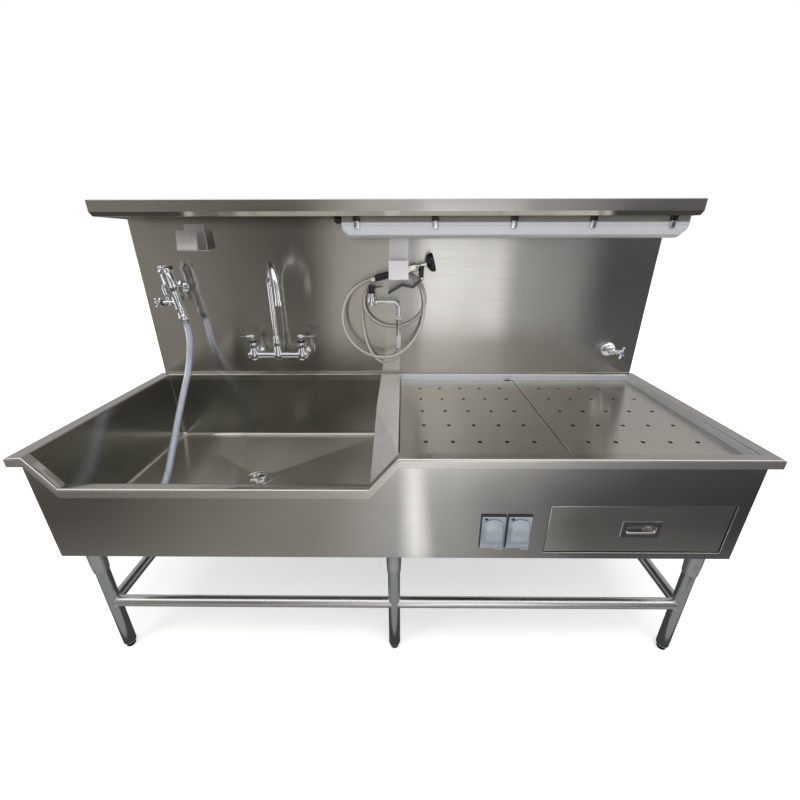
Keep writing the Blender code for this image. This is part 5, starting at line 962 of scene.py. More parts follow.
def round_rectangle(x, z, radius, steps=6):
    """Points round a rectangle with rounded corners, from its lower right corner on."""
    points = []
    for quarter, (cx, cz) in enumerate(((x[1] - radius, z[0] + radius), (x[1] - radius, z[1] - radius),
                                        (x[0] + radius, z[1] - radius), (x[0] + radius, z[0] + radius))):
        for n in range(steps + 1):
            a = math.radians(90 * (quarter - 1) + 90 * n / steps)
            points.append((cx + radius * math.cos(a), cz + radius * math.sin(a)))
    return points


def loft(bm, loops, closed=False):
    """Add skins between loops of (x, z) points at depths y; closed joins the last loop to the first."""
    rings = [[bm.verts.new((x, y, z)) for x, z in points] for points, y in loops]
    for near, far in zip(rings, rings[1:] + (rings[:1] if closed else [])):
        skin(bm, near, far)
    return rings


def about(middle, half):
    """Limits on both sides of a middle."""
    return (middle - half, middle + half)


def moulded(name, code, rough, grain=0.0012, depth=0.00006, mottle=0.08):
    """Moulded plastic or rubber: the eye gets a fine even grain, slight mottling and a soft sheen.

    The mould's grain is about 0.2 mm; it is drawn at the given size, as fine as shows here.
    """
    material, tree, shader = new_material(name)
    spot = add(tree, "ShaderNodeTexCoord").outputs["Object"]
    cloud = add(tree, "ShaderNodeTexNoise", {}, {"Vector": spot, "Scale": 1 / 0.03, "Detail": 3.0})
    tone = add(tree, "ShaderNodeValToRGB", {}, {"Fac": cloud.outputs["Fac"]})
    base = srgb(code)
    tone.color_ramp.elements[0].position, tone.color_ramp.elements[1].position = 0.3, 0.7
    tone.color_ramp.elements[0].color = (*[c * (1 - mottle) for c in base[:3]], 1.0)
    tone.color_ramp.elements[1].color = (*[min(c * (1 + mottle), 1.0) for c in base[:3]], 1.0)
    tree.links.new(tone.outputs["Color"], shader.inputs["Base Color"])
    gloss = add(tree, "ShaderNodeMapRange", {},
                {"Value": cloud.outputs["Fac"], "To Min": rough - 0.05, "To Max": rough + 0.05})
    tree.links.new(gloss.outputs["Result"], shader.inputs["Roughness"])
    fine = add(tree, "ShaderNodeTexNoise", {}, {"Vector": spot, "Scale": 1 / grain, "Detail": 2.0})
    bump = add(tree, "ShaderNodeBump", {},
               {"Height": fine.outputs["Fac"], "Strength": 0.5, "Distance": depth})
    tree.links.new(bump.outputs["Normal"], shader.inputs["Normal"])
    return material


# the seal round the drawer's opening, behind the apron's edge: black rubber, which also stands for the
# shade in the gap round the drawer front, painted shade
black_rubber = moulded("black_rubber", "#101114", 0.26)
(left, right), (low, high) = DRAWER_HOLE_X, DRAWER_HOLE_Z
loops = []
for grow, y in ((SEAL_BEHIND, SEAL_Y[0]), (-SEAL_SHOWS, SEAL_Y[0]),
                (-SEAL_SHOWS, SEAL_Y[1]), (SEAL_BEHIND, SEAL_Y[1])):
    loops.append(([(right + grow, low - grow), (right + grow, high + grow),
                   (left - grow, high + grow), (left - grow, low - grow)], y))
bm = bmesh.new()
loft(bm, loops, True)
outwards(bm)
stand_in(place("drawer_seal", bm, black_rubber), "", slot="black_rubber")


def pull_outline(half, tall, radius):
    """Points round the middle of the pull."""
    return round_rectangle(about(PULL_X, half), about(PULL_Z, tall), radius)


# the pull: a plate with an eased edge, a cup behind it and a rolled lip to grip
bm = bmesh.new()
back = DRAWER_FACE - FIT
face = back - 0.0015
plate = pull_outline(PULL_HALF, PULL_TALL, 0.003)
mouth = [pull_outline(0.0452 - k, 0.0162 - k, 0.0115 - k) for k in (0.0, 0.0008)]
rings = loft(bm, [(plate, back), (plate, face + 0.0008),
                  (pull_outline(PULL_HALF - 0.0008, PULL_TALL - 0.0008, 0.0026), face),
                  (mouth[0], face), (mouth[1], face + 0.0008), (mouth[1], back + 0.016),
                  (pull_outline(0.0410, 0.0125, 0.0100), back + 0.0210),
                  (pull_outline(0.0380, 0.0100, 0.0085), back + 0.0222)])
bm.faces.new(rings[-1])
cup = pull_outline(0.0466, 0.0176, 0.012)
rings = loft(bm, [(cup, back), (cup, back + 0.020),
                  (pull_outline(0.0420, 0.0140, 0.010), back + 0.0239)])
bm.faces.new(rings[-1])
outwards(bm)
grip = bmesh.new()
lip_z = PULL_Z - 0.0118
lip_end = [(0.0415, face + 0.004, lip_z + 0.003), (0.040, face + 0.001, lip_z + 0.0006),
           (0.036, face - 0.0004, lip_z)]
lip = [(PULL_X - dx, y, z) for dx, y, z in lip_end] + [(PULL_X, face - 0.0006, lip_z)]
lip += [(PULL_X + dx, y, z) for dx, y, z in lip_end[::-1]]
tube(grip, lip, 0.0042, 20)
take_in(bm, grip)
pull_chrome = polished_chrome("satin_chrome_pull", "#D3D1CC", 0.18)
stand_in(place("drawer_pull_cast", bm, pull_chrome, 40, even=True), "drawer_pull", "drawer_body",
         "polished_chrome")


# Splash-proof outlets
# Two frames with black gaskets, screwed to the apron, each with a white socket. A sprung lid of grey
# thermoplastic with an arched dome is hinged along the top; a tab at its lower right corner lifts it.

OUTLET_XS, OUTLET_Z, OUTLET_HALF, OUTLET_TALL = (0.301, 0.380), 0.601, 0.0375, 0.062
OUTLET_FACE, OUTLET_BACK = -0.3813, -0.3773
WINDOW_HALF, WINDOW_TALL = 0.018, 0.035
HINGE_Y, HINGE_Z = -0.38335, 0.6565
LID_MARGIN, LID_FLAT, LID_BULGE, LID_WALL = 0.003, 0.0035, 0.014, 0.0016
LID_FACE = OUTLET_FACE - FIT - LID_FLAT
LID_LOW, HINGE_ROUND = OUTLET_Z - OUTLET_TALL + LID_MARGIN, LID_FLAT / 2
grey_lid = moulded("grey_thermoplastic", "#979FA8", 0.24)
gasket_black = moulded("black_gasket_frame", "#1E2024", 0.40)
# a dark copy of the lid's grey in the groove round the dome: painted shade
groove_grey = moulded("grey_thermoplastic_groove_painted_shade", "#343A42", 0.45)
white_nylon = moulded("white_nylon", "#E6E4DC", 0.40)


def ease(share):
    """Quick rise from 0, level at 1."""
    return math.sin(math.pi / 2 * min(max(share, 0.0), 1.0))


def dome(u, v):
    """Height of a lid's dome, and of the groove round it: u runs -1 to 1 across, v 0 to 1 upwards."""
    wide = 0.88
    arch = 0.93 - 0.17 * (1 - math.sqrt(max(1 - min(abs(u) / wide, 1.0) ** 2, 0.0)))
    inside = min((wide - abs(u)) / 0.20, (arch - v) / 0.20)
    rise = ease((wide - abs(u)) / 0.20) * ease((arch - v) / 0.24) * ease((v - 0.13) / 0.30)
    groove = max(0.0, 1 - abs(inside + 0.06) / 0.10) if inside < 0.02 and v > 0.13 else 0.0
    return LID_BULGE * rise - 0.0009 * groove, groove


for side, x in zip(("left", "right"), OUTLET_XS):
    bm = bmesh.new()
    corner = 0.004
    outer = round_rectangle(about(x, OUTLET_HALF), about(OUTLET_Z, OUTLET_TALL), corner)
    trim = round_rectangle(about(x, OUTLET_HALF - 0.001), about(OUTLET_Z, OUTLET_TALL - 0.001),
                           corner - 0.001)
    window = round_rectangle(about(x, WINDOW_HALF), about(OUTLET_Z, WINDOW_TALL), 0.003)
    loft(bm, [(outer, OUTLET_BACK), (outer, OUTLET_FACE + 0.001), (trim, OUTLET_FACE),
              (window, OUTLET_FACE), (window, OUTLET_BACK)], True)
    outwards(bm)
    for dx in (-0.0275, 0.0275):
        lathe(bm, [(0, -0.001), (0.0028, -0.001), (0.0028, 0.0002), (0.0020, 0.0003), (0, 0.0003)],
              (x + dx, OUTLET_FACE, OUTLET_Z - 0.045), (0, -1, 0), 18)
    stand_in(place(f"outlet_frame_{side}", bm, gasket_black, even=True), f"outlet_plate_{side}",
             slot="grey_plastic")
    keep(f"outlet_socket_{side}", white_nylon)

    half = OUTLET_HALF - LID_MARGIN
    across, up = 36, 60
    shares = [2 * n / across - 1 for n in range(across + 1)]
    bm = bmesh.new()
    grid = []
    for row in range(up + 1):
        v = row / up
        z = LID_LOW + (HINGE_Z - LID_LOW) * v
        grid.append([bm.verts.new((x + half * u, LID_FACE - dome(u, v)[0], z)) for u in shares])
    # the top is round about the hinge, so that the lid turns clear of its frame
    for turn in (25, 50, 75):
        y = HINGE_Y - HINGE_ROUND * math.cos(math.radians(turn))
        z = HINGE_Z + HINGE_ROUND * math.sin(math.radians(turn))
        grid.append([bm.verts.new((x + half * u, y, z)) for u in shares])
    for row, (low_row, high_row) in enumerate(zip(grid, grid[1:])):
        for n in range(across):
            cell = bm.faces.new((low_row[n], low_row[n + 1], high_row[n + 1], high_row[n]))
            # cells in the groove take the dark grey, painted shade
            cell.material_index = 1 if dome(2 * (n + 0.5) / across - 1, (row + 0.5) / up)[1] > 0.45 else 0
    rim = [edge for edge in bm.edges if edge.is_boundary]
    skirt = [item for item in bmesh.ops.extrude_edge_only(bm, edges=rim)["geom"]
             if isinstance(item, bmesh.types.BMVert)]
    for vert in skirt:
        above = max(vert.co.z - HINGE_Z, 0.0)
        vert.co.y = HINGE_Y + math.sqrt(HINGE_ROUND ** 2 - above ** 2)
    outwards(bm)
    if sum(face.normal.y * face.calc_area() for face in bm.faces) > 0:
        bmesh.ops.reverse_faces(bm, faces=bm.faces[:])
    lid = place(f"outlet_lid_{side}_domed", bm, [grey_lid, groove_grey], 40, sheet=LID_WALL)
    bm = opened(lid)
    tab_x = (x + half - 0.022, x + half)
    tab_z = (LID_LOW - 0.0073, LID_LOW + 0.0018)
    eye = (sum(tab_x) / 2, sum(tab_z) / 2 - 0.0008)
    hole = round_rectangle(about(eye[0], 0.0022), about(eye[1], 0.0022), 0.0022)
    tab = bmesh.new()
    loft(tab, [(round_rectangle(tab_x, tab_z, 0.003), LID_FACE), (hole, LID_FACE),
               (hole, LID_FACE + LID_FLAT), (round_rectangle(tab_x, tab_z, 0.003), LID_FACE + LID_FLAT)],
         True)
    take_in(bm, tab)
    lathe(bm, [(0, 0), (0.0016, 0), (0.0016, 2 * half - 0.002), (0, 2 * half - 0.002)],
          (x - half + 0.001, HINGE_Y, HINGE_Z), (1, 0, 0), 16)
    lid = place(f"outlet_lid_{side}_moulded", bm, [grey_lid, groove_grey], 40)
    stand_in(lid, f"outlet_lid_{side}", f"outlet_lid_{side}_body", "grey_plastic")


def wound(group, entry):
    """Wire of a spring along its winding."""
    ring = add(group, "GeometryNodeCurvePrimitiveCircle", {},
               {"Resolution": 8, "Radius": entry.outputs["Wire"]})
    return add(group, "GeometryNodeCurveToMesh", {},
               {0: entry.outputs[0], 1: ring.outputs[0], "Fill Caps": True}).outputs[0]


COIL_RADIUS = 0.0024
for side, x in zip(("left", "right"), OUTLET_XS):
    start = x - OUTLET_HALF + LID_MARGIN + 0.006
    coil = [(start + 0.009 * n / 60, LID_FACE - 0.0006 + COIL_RADIUS * math.sin(math.tau * n / 15),
             HINGE_Z - 0.0042 + COIL_RADIUS * math.cos(math.tau * n / 15)) for n in range(61)]
    coil.append((start + 0.0092, LID_FACE - 0.0008, HINGE_Z - 0.0095))
    spring = grown(f"lid_spring_{side}", coil, wound, black_rubber, Wire=0.0008)
    stand_in(spring, "", f"outlet_lid_{side}_body", "black_rubber")


# Lamp
# A damp-proof lamp hung under the shelf: a grey housing of glass-filled plastic, a milky acrylic cover
# held up by five snap latches along its front, and a black cable gland at its left end.

LAMP_X, LAMP_Y = (-0.190, 1.045), (0.200, 0.304)
LAMP_TOP, LAMP_SEAM, LAMP_BOTTOM, LAMP_SLOPE = 1.503, 1.475, 1.423, 0.024
LATCH_FIRST, LATCH_PITCH, LATCH_COUNT = -0.136, 0.280, 5
lamp_grey = moulded("glass_filled_polyester", "#857F79", 0.42)

bm = bmesh.new()
part = bmesh.new()
slab(part, [(LAMP_Y[0] + 0.006, LAMP_TOP), (LAMP_Y[0], LAMP_TOP - 0.006), (LAMP_Y[0], LAMP_SEAM),
            (LAMP_Y[1], LAMP_SEAM), (LAMP_Y[1], LAMP_TOP - 0.006), (LAMP_Y[1] - 0.006, LAMP_TOP)], "X",
     LAMP_X)
outwards(part)
soften(part, 0.0025, lambda edge: edge.verts[0].co.z > LAMP_SEAM + 0.001
       or edge.verts[1].co.z > LAMP_SEAM + 0.001)
take_in(bm, part)
hanger_z = (LAMP_TOP - 0.001, SHELF_TOP - SHEET - FIT)
for hanger in (LAMP_X[0] + 0.180, LAMP_X[1] - 0.180):
    part = bmesh.new()
    slab(part, oblong(about(hanger, 0.035), about(sum(LAMP_Y) / 2, 0.020)), "Z", hanger_z)
    soften(part, 0.002)
    take_in(bm, part)
stand_in(place("lamp_housing", bm, lamp_grey, even=True), "light_housing", slot="grey_plastic")

# acrylic: milky, smooth outside, faint ribs along it that spread the light
milky = moulded("milky_acrylic", "#C9CCD0", 0.22, 0.004, 0.00002, 0.02)


def lamp_section(low):
    """Section of the cover: a rim, a small step, then walls that slope in to the underside."""
    top = LAMP_SEAM - FIT
    lean = min(LAMP_SLOPE, top - 0.014 - low)
    wall = [(0, top), (0, top - 0.010), (0.0018, top - 0.012), (0.0022, low + lean * 0.9),
            (0.0060, low + lean * 0.45), (lean * 0.7, low + 0.002), (lean, low)]
    return ([(LAMP_Y[0] + inset, z) for inset, z in wall]
            + [(LAMP_Y[1] - inset, z) for inset, z in wall[::-1]])


cover_end = [(0, LAMP_BOTTOM + LAMP_SLOPE), (0.004, LAMP_BOTTOM + LAMP_SLOPE * 0.78),
             (LAMP_SLOPE * 0.8, LAMP_BOTTOM + 0.002), (LAMP_SLOPE, LAMP_BOTTOM)]
cover_line = [(LAMP_X[0] + inset, low) for inset, low in cover_end]
cover_line += [(LAMP_X[1] - inset, low) for inset, low in cover_end[::-1]]
bm = bmesh.new()
rings = [[bm.verts.new((x, y, z)) for y, z in lamp_section(low)] for x, low in cover_line]
for near, far in zip(rings, rings[1:]):
    skin(bm, near, far)
bm.faces.new(rings[0])
bm.faces.new(rings[-1])
outwards(bm)
stand_in(place("lamp_cover", bm, milky, 30), "light_diffuser", slot="milky_plastic")

bm = bmesh.new()
turned(bm, [(0, 0), (0.0128, 0), (0.0128, 0.004), (0.0120, 0.005), (0.0120, 0.009), (0.0160, 0.010),
            (0.0168, 0.0115), (0.0168, 0.024), (0.0155, 0.0262),
            (0.0110, 0.031), (0.0094, 0.034), (0.0070, 0.034), (0.0062, 0.030), (0, 0.030)],
       (LAMP_X[0] - FIT, sum(LAMP_Y) / 2, (LAMP_TOP + LAMP_SEAM) / 2), (-1, 0, 0), 24)
for n in range(12):
    a = math.tau * n / 12
    nub = Vector((LAMP_X[0] - 0.012, sum(LAMP_Y) / 2 + 0.0163 * math.cos(a),
                  (LAMP_TOP + LAMP_SEAM) / 2 + 0.0163 * math.sin(a)))
    tube(bm, [nub, nub - Vector((0.0115, 0, 0))], 0.0011, 6)
outwards(bm)
stand_in(place("lamp_gland", bm, black_rubber), "light_gland", slot="black_rubber")


def latch_row(latch):
    """Row of latches: one shape, repeated along the lamp's front."""
    def tree_maker(group, entry):
        """The latch at even steps of the line, scaled to its width."""
        source = add(group, "GeometryNodeObjectInfo", {"transform_space": "ORIGINAL"},
                     {"Object": latch})
        line = add(group, "GeometryNodeResampleCurve", {},
                   {"Curve": entry.outputs[0], "Count": LATCH_COUNT})
        points = add(group, "GeometryNodeCurveToPoints", {"mode": "EVALUATED"}, {0: line.outputs[0]})
        size = add(group, "ShaderNodeCombineXYZ", {}, {"X": entry.outputs["Width"], "Y": 1.0, "Z": 1.0})
        row = add(group, "GeometryNodeInstanceOnPoints", {},
                  {"Points": points.outputs[0], "Instance": source.outputs["Geometry"],
                   "Scale": size.outputs[0]})
        return row.outputs[0]
    return tree_maker


latch_chrome = polished_chrome("sprung_steel_clip", "#D8DADC", 0.12)
latch_black = moulded("black_nylon_latch", "#101012", 0.35)
latch_line = [(LATCH_FIRST + n * LATCH_PITCH, LAMP_Y[0], 0) for n in range(LATCH_COUNT)]
latch_outline = [(0.0010, LAMP_TOP - 0.0025), (-0.0060, LAMP_TOP - 0.0025), (-0.0073, LAMP_TOP - 0.005),
                 (-0.0073, LAMP_SEAM + 0.008), (-0.0055, LAMP_SEAM + 0.003), (-FIT, LAMP_SEAM + 0.003),
                 (0.0010, LAMP_SEAM + 0.004)]
clip_outline = [(-0.0050, LAMP_SEAM + 0.006), (-0.0062, LAMP_SEAM + 0.002), (-0.0052, LAMP_SEAM - 0.010),
                (-0.0038, LAMP_SEAM - 0.020), (-FIT, LAMP_SEAM - 0.020), (-FIT, LAMP_SEAM - 0.017),
                (-0.0024, LAMP_SEAM - 0.0165), (-0.0036, LAMP_SEAM - 0.006), (-0.0036, LAMP_SEAM + 0.004)]
for name, outline, width, material, slot in (("lamp_latches", latch_outline, 0.024, latch_black,
                                              "black_rubber"), ("lamp_clips", clip_outline, 0.018,
                                                                latch_chrome, "polished_chrome")):
    bm = bmesh.new()
    slab(bm, outline, "X", (-0.5, 0.5))
    outwards(bm)
    one = place(name + "_one", bm, material)
    row = grown(name, latch_line, latch_row(one), material, Width=width)
    bpy.data.objects.remove(one)
    bm = opened(row)
    soften(bm, 0.0007, segments=2, limit=0.7)
    stand_in(place(name + "_snap", bm, material), "", slot=slot)


# Hooks on the back panel
# Strips of stainless bent into troughs and spot-welded to the back panel: one at the left, and one that
# holds the hand spray.

HOOK_SHEET, HOOK_HALF, HOOK_BACK, HOOK_FRONT = 0.0025, 0.039, 0.3497, 0.2647
HOOK_LIP, HOOK_BEND = 0.074, 0.005
# a paler, less metallic copy of the steel: painted light, for the hooks' bright lips and plates
hook_steel = brushed_steel("brushed_stainless_hook_painted_light", "X", "#E6E4E5", 0.24, 0.6, 0.0, 0.75)


def bent(points, radius, steps=6):
    """Line through corner points with each corner rounded to a bend."""
    points = [Vector(point) for point in points]
    line = [points[0]]
    for before, corner, after in zip(points, points[1:], points[2:]):
        u, v = (before - corner).normalized(), (after - corner).normalized()
        half = u.angle(v) / 2
        centre = corner + (u + v).normalized() * radius / math.sin(half)
        start = corner + u * radius / math.tan(half) - centre
        end = corner + v * radius / math.tan(half) - centre
        line += [centre + start.lerp(end, n / steps).normalized() * radius for n in range(steps + 1)]
    return line + [points[-1]]


def strip(line, thick):
    """Outline of a strip of even thickness along a line."""
    near, far = [], []
    for n, point in enumerate(line):
        along = (line[min(n + 1, len(line) - 1)] - line[max(n - 1, 0)]).normalized()
        normal = Vector((-along.y, along.x)) * thick / 2
        near.append(tuple(point + normal))
        far.append(tuple(point - normal))
    return near + far[::-1]


for name, x, low, plate, rise in (("left_hook", -0.797, 1.379, 0.098, 0.0),
                                  ("spray_hook", 0.012, 1.269, 0.190, 0.014)):
    core = HOOK_SHEET / 2
    crease = Vector((HOOK_FRONT + core + 0.0095, low + HOOK_LIP * 0.46))
    line = bent([(HOOK_BACK - core, low + plate), (HOOK_BACK - core, low + rise + core),
                 (HOOK_FRONT + core, low + core), crease], HOOK_BEND)[:-1]
    line += [crease, Vector((crease.x + 0.0062, low + HOOK_LIP))]
    bm = bmesh.new()
    slab(bm, strip(line, HOOK_SHEET), "X", about(x, HOOK_HALF))
    outwards(bm)
    soften(bm, 0.0006, limit=1.2)
    for dx in (-0.022, 0.022):
        lathe(bm, [(0, -0.0005), (0.0034, -0.0005), (0.0034, 0.00005), (0.0026, 0.00025), (0, 0.0001)],
              (x + dx, HOOK_BACK - HOOK_SHEET, low + plate - 0.012), (0, -1, 0), 20)
    stand_in(place(name + "_bent", bm, hook_steel, 40, even=True), name)


# Faucet
# Chrome-plated wall faucet: two valves on a bar, each with a black ring and a flat lever, and a gooseneck
# that swivels in the middle. Shanks with lock nuts hold it behind the panel.

FAUCET_X, FAUCET_Y, FAUCET_Z, FAUCET_TOP = -0.503, 0.280, 0.965, 1.020
FAUCET_CENTRES = 0.2032
SPOUT_BASE, SPOUT_RADIUS, SPOUT_REACH, SPOUT_ARCH, SPOUT_OUTLET = 1.032, 0.010, 0.180, 1.245, 1.196
SPOUT_TURN = math.radians(26)


def wall_shank(bm, x, y, z, neck, flange):
    """Neck back to a wall flange with a rolled edge, then shank, lock nut and tail behind the panel."""
    wall = PANEL_FACE - y - FIT
    behind = PANEL_FACE - y + SHEET + FIT
    turned(bm, [(0, 0), (neck, 0), (neck, wall - 0.016),
                (neck * 1.15, wall - 0.014), (flange * 0.62, wall - 0.0115), (flange * 0.88, wall - 0.007),
                (flange * 0.98, wall - 0.003), (flange, wall - 0.0012), (flange * 0.985, wall),
                (0.0125, wall), (0.0125, behind), (0, behind)], (x, y, z), (0, 1, 0), 36)
    turned(bm, [(0.0120, behind), (0.0192, behind), (0.020, behind + 0.0008), (0.020, behind + 0.0082),
                (0.0192, behind + 0.009), (0.0095, behind + 0.009)], (x, y, z), (0, 1, 0), 6)
    turned(bm, [(0, behind), (0.010, behind), (0.010, behind + 0.027), (0.0092, behind + 0.028),
                (0.0075, behind + 0.028), (0.0075, behind + 0.012), (0, behind + 0.012)], (x, y, z),
           (0, 1, 0), 24)


# section of a lever, from side to side and from its underside up
BLADE = ((-1, 0.25), (-0.8, 0.0), (0.8, 0.0), (1, 0.25), (1, 0.70), (0.7, 1.0), (-0.7, 1.0), (-1, 0.70))


def lever_handle(name, node, body, place_at, side, length, thick, materials, slot):
    """Ring, hub and flat lever on a valve's top; side is the way it points along X."""
    x, y, z = place_at
    bm = bmesh.new()
    lathe(bm, [(0, 0), (0.0152, 0), (0.01575, 0.0006), (0.01575, 0.0052), (0.0150, 0.006), (0.0085, 0.0064),
               (0, 0.0064)], place_at, sides=36, slot=1)
    lathe(bm, [(0, 0.006), (0.0085, 0.006), (0.0084, 0.0135), (0.0098, 0.0165), (0.0105, 0.0185),
               (0.0105, 0.0290), (0.0098, 0.0315), (0.0075, 0.0332), (0.0035, 0.0339), (0, 0.034)],
          place_at, sides=36)
    blade = bmesh.new()
    low = z + 0.020
    rows = []
    for n in range(9):
        share = n / 8
        at = x + side * (0.002 + (length - 0.002) * share)
        wide = 0.0058 + 0.0018 * math.sin(math.pi * min(share * 1.15, 1.0)) if n < 8 else 0.0045
        rise = low + thick * share
        tall = thick * (1.4 - 0.6 * share)
        rows.append([blade.verts.new((at, y + dy * wide, rise + dz * tall)) for dy, dz in BLADE])
    for near, far in zip(rows, rows[1:]):
        skin(blade, near, far)
    blade.faces.new(rows[0])
    blade.faces.new(rows[-1])
    take_in(bm, blade)
    stand_in(place(name, bm, materials, 40), node, body, slot)


bm = bmesh.new()
xs = about(FAUCET_X, FAUCET_CENTRES / 2)
turned(bm, [(0, 0), (0.0115, 0), (0.0115, FAUCET_CENTRES), (0, FAUCET_CENTRES)],
       (xs[0], FAUCET_Y, FAUCET_Z), (1, 0, 0), 32)
for x in xs:
    z = FAUCET_Z
    turned(bm, [(0, z - 0.020), (0.0125, z - 0.020), (0.0140, z - 0.0185), (0.0172, z - 0.0125),
                (0.0175, z - 0.010), (0.0175, z + 0.012), (0.0168, z + 0.0155), (0.0135, z + 0.0245),
                (0.0131, z + 0.027), (0.0131, FAUCET_TOP - 0.011), (0.0140, FAUCET_TOP - 0.0095),
                (0.01575, FAUCET_TOP - 0.008), (0.01575, FAUCET_TOP - 0.0006), (0.0150, FAUCET_TOP),
                (0, FAUCET_TOP)], (x, FAUCET_Y, 0), sides=40)
    for dx in (-1, 1):
        turned(bm, [(0, 0.0150), (0.0132, 0.0150), (0.0137, 0.0156), (0.0137, 0.0222), (0.0130, 0.0230),
                    (0, 0.0230)], (x, FAUCET_Y, z), (dx, 0, 0), 28)
    wall_shank(bm, x, FAUCET_Y, z, 0.0115, 0.024)
z, neck_top = FAUCET_Z, SPOUT_BASE - FIT
turned(bm, [(0, z - 0.016), (0.0165, z - 0.016), (0.0180, z - 0.0145), (0.0195, z - 0.004),
            (0.020, z), (0.0185, z + 0.012), (0.0160, z + 0.022), (0.0140, z + 0.036), (0.0135, z + 0.046),
            (0.0150, z + 0.049), (0.0150, z + 0.060), (0.0135, z + 0.063), (0.0135, neck_top),
            (0, neck_top)], (FAUCET_X, FAUCET_Y, 0), sides=40)
outwards(bm)
stand_in(place("faucet_cast", bm, chrome), "faucet_body", slot="polished_chrome")
for side, x, way in (("left", xs[0], -1), ("right", xs[1], 1)):
    lever_handle(f"faucet_{side}_lever_arm", f"faucet_{side}_handle", f"faucet_{side}_lever",
                 (x, FAUCET_Y, FAUCET_TOP + FIT), way, 0.060, 0.006, [chrome, black_rubber],
                 "polished_chrome")

forward = Vector((math.sin(SPOUT_TURN), -math.cos(SPOUT_TURN), 0))
base = Vector((FAUCET_X, FAUCET_Y, SPOUT_BASE))
line = [base, base + Vector((0, 0, 0.06)), base + Vector((0, 0, 0.13))]
for n in range(33):
    a = math.pi * n / 32
    line.append(Vector((base.x, base.y, SPOUT_ARCH + SPOUT_REACH / 2 * math.sin(a)))
                + forward * SPOUT_REACH / 2 * (1 - math.cos(a)))
tip = Vector((line[-1].x, line[-1].y, SPOUT_OUTLET))
line.append(tip + Vector((0, 0, 0.010)))
bm = bmesh.new()
tube(bm, line, SPOUT_RADIUS, 28)
turned(bm, [(0, 0), (0.0130, 0), (0.0135, 0.0006), (0.0135, 0.009), (0.0128, 0.011), (0.0104, 0.016),
            (0, 0.016)], base, sides=36)
turned(bm, [(0.0080, 0.004), (0.0080, 0), (0.0115, 0), (0.0120, 0.0006), (0.0120, 0.0170), (0.0112, 0.018),
            (0, 0.018), (0, 0.004)], tip, sides=36)
outwards(bm)
stand_in(place("faucet_gooseneck", bm, chrome), "faucet_spout", "spout_body", "polished_chrome")


# Aspirator
# Chrome-plated water aspirator on a wall shank, leaning to the left: a tube with a head, a small side
# tube, and a valve stem with a cross handle. A black washer sits under the handle and a black knob
# beside the head.

ASPIRATOR_FOOT, ASPIRATOR_LEAN = Vector((-0.8665, 0.270, 1.110)), math.radians(10)
ASPIRATOR_UP = Vector((-math.sin(ASPIRATOR_LEAN), 0, math.cos(ASPIRATOR_LEAN)))
ASPIRATOR_LENGTH, ASPIRATOR_STOUT, SHANK_RISE = 0.222, 1.14, 0.130
out = Vector((-ASPIRATOR_UP.z, 0, ASPIRATOR_UP.x))
shoulder = ASPIRATOR_LENGTH * 0.62
stem_foot = ASPIRATOR_FOOT + ASPIRATOR_UP * 0.076

crest = ASPIRATOR_LENGTH
bm = bmesh.new()
part = bmesh.new()
turned(part, [(0, 0), (0.0135, 0), (0.0142, 0.001), (0.0165, 0.0095), (0.0165, 0.0235), (0.0158, 0.0255),
              (0.0140, 0.028), (0.0140, 0.046), (0.0150, 0.048), (0.0150, 0.060), (0.0140, 0.062),
              (0.0140, shoulder - 0.022), (0.0150, shoulder - 0.018), (0.0165, shoulder - 0.012),
              (0.0205, shoulder - 0.003), (0.0215, shoulder), (0.0215, crest - 0.034),
              (0.0205, crest - 0.032), (0.0205, crest - 0.030), (0.0228, crest - 0.0275),
              (0.0236, crest - 0.0255), (0.0236, crest - 0.0150), (0.0228, crest - 0.013),
              (0.0150, crest - 0.0085), (0.0129, crest - 0.007), (0.0129, crest - 0.0012), (0.0120, crest),
              (0, crest)], ASPIRATOR_FOOT, ASPIRATOR_UP, 40)
for vert in part.verts:
    foot = ASPIRATOR_FOOT + ASPIRATOR_UP * (vert.co - ASPIRATOR_FOOT).dot(ASPIRATOR_UP)
    vert.co = foot + (vert.co - foot) * ASPIRATOR_STOUT
take_in(bm, part)
level = Vector((-1, 0, 0))
lathe(bm, [(0, 0), (0.0095, 0), (0.0095, 0.026), (0.0112, 0.028), (0.0120, 0.030), (0.0120, 0.040),
           (0.0112, 0.042), (0.0095, 0.0435), (0.0085, 0.052), (0.0085, 0.060), (0, 0.060)], stem_foot,
      level, 32)
lathe(bm, [(0, 0.058), (0.0105, 0.058), (0.0110, 0.0588), (0.0110, 0.0652), (0.0105, 0.066), (0, 0.066)],
      stem_foot, level, 32, 1)
part = bmesh.new()
elbow = stem_foot + out * 0.031
crown = ASPIRATOR_FOOT + ASPIRATOR_UP * (shoulder + 0.012)
bend_line = bent([elbow - ASPIRATOR_UP * 0.004, crown + out * 0.031, crown], 0.014, 8)
tube(part, bend_line, 0.0098, 24)
turned(part, [(0, 0), (0.0105, 0), (0.0110, 0.0008), (0.0110, 0.0072), (0.0105, 0.008), (0, 0.008)],
       elbow + ASPIRATOR_UP * 0.030, ASPIRATOR_UP, 6)
take_in(bm, part)
knob_at = ASPIRATOR_FOOT + ASPIRATOR_UP * crest * 0.935 - out * 0.0150
lathe(bm, [(0, 0), (0.0052, 0), (0.0052, 0.005), (0.0068, 0.006), (0.0074, 0.008), (0.0074, 0.0125),
           (0.0066, 0.0145), (0, 0.0150)], knob_at, -out, 24, 1)
lathe(bm, [(0, 0), (0.0070, 0), (0.0070, 0.0105), (0.0062, 0.012), (0, 0.012)],
      ASPIRATOR_FOOT + ASPIRATOR_UP * crest * 0.97 + out * 0.0107, out, 24)
part = bmesh.new()
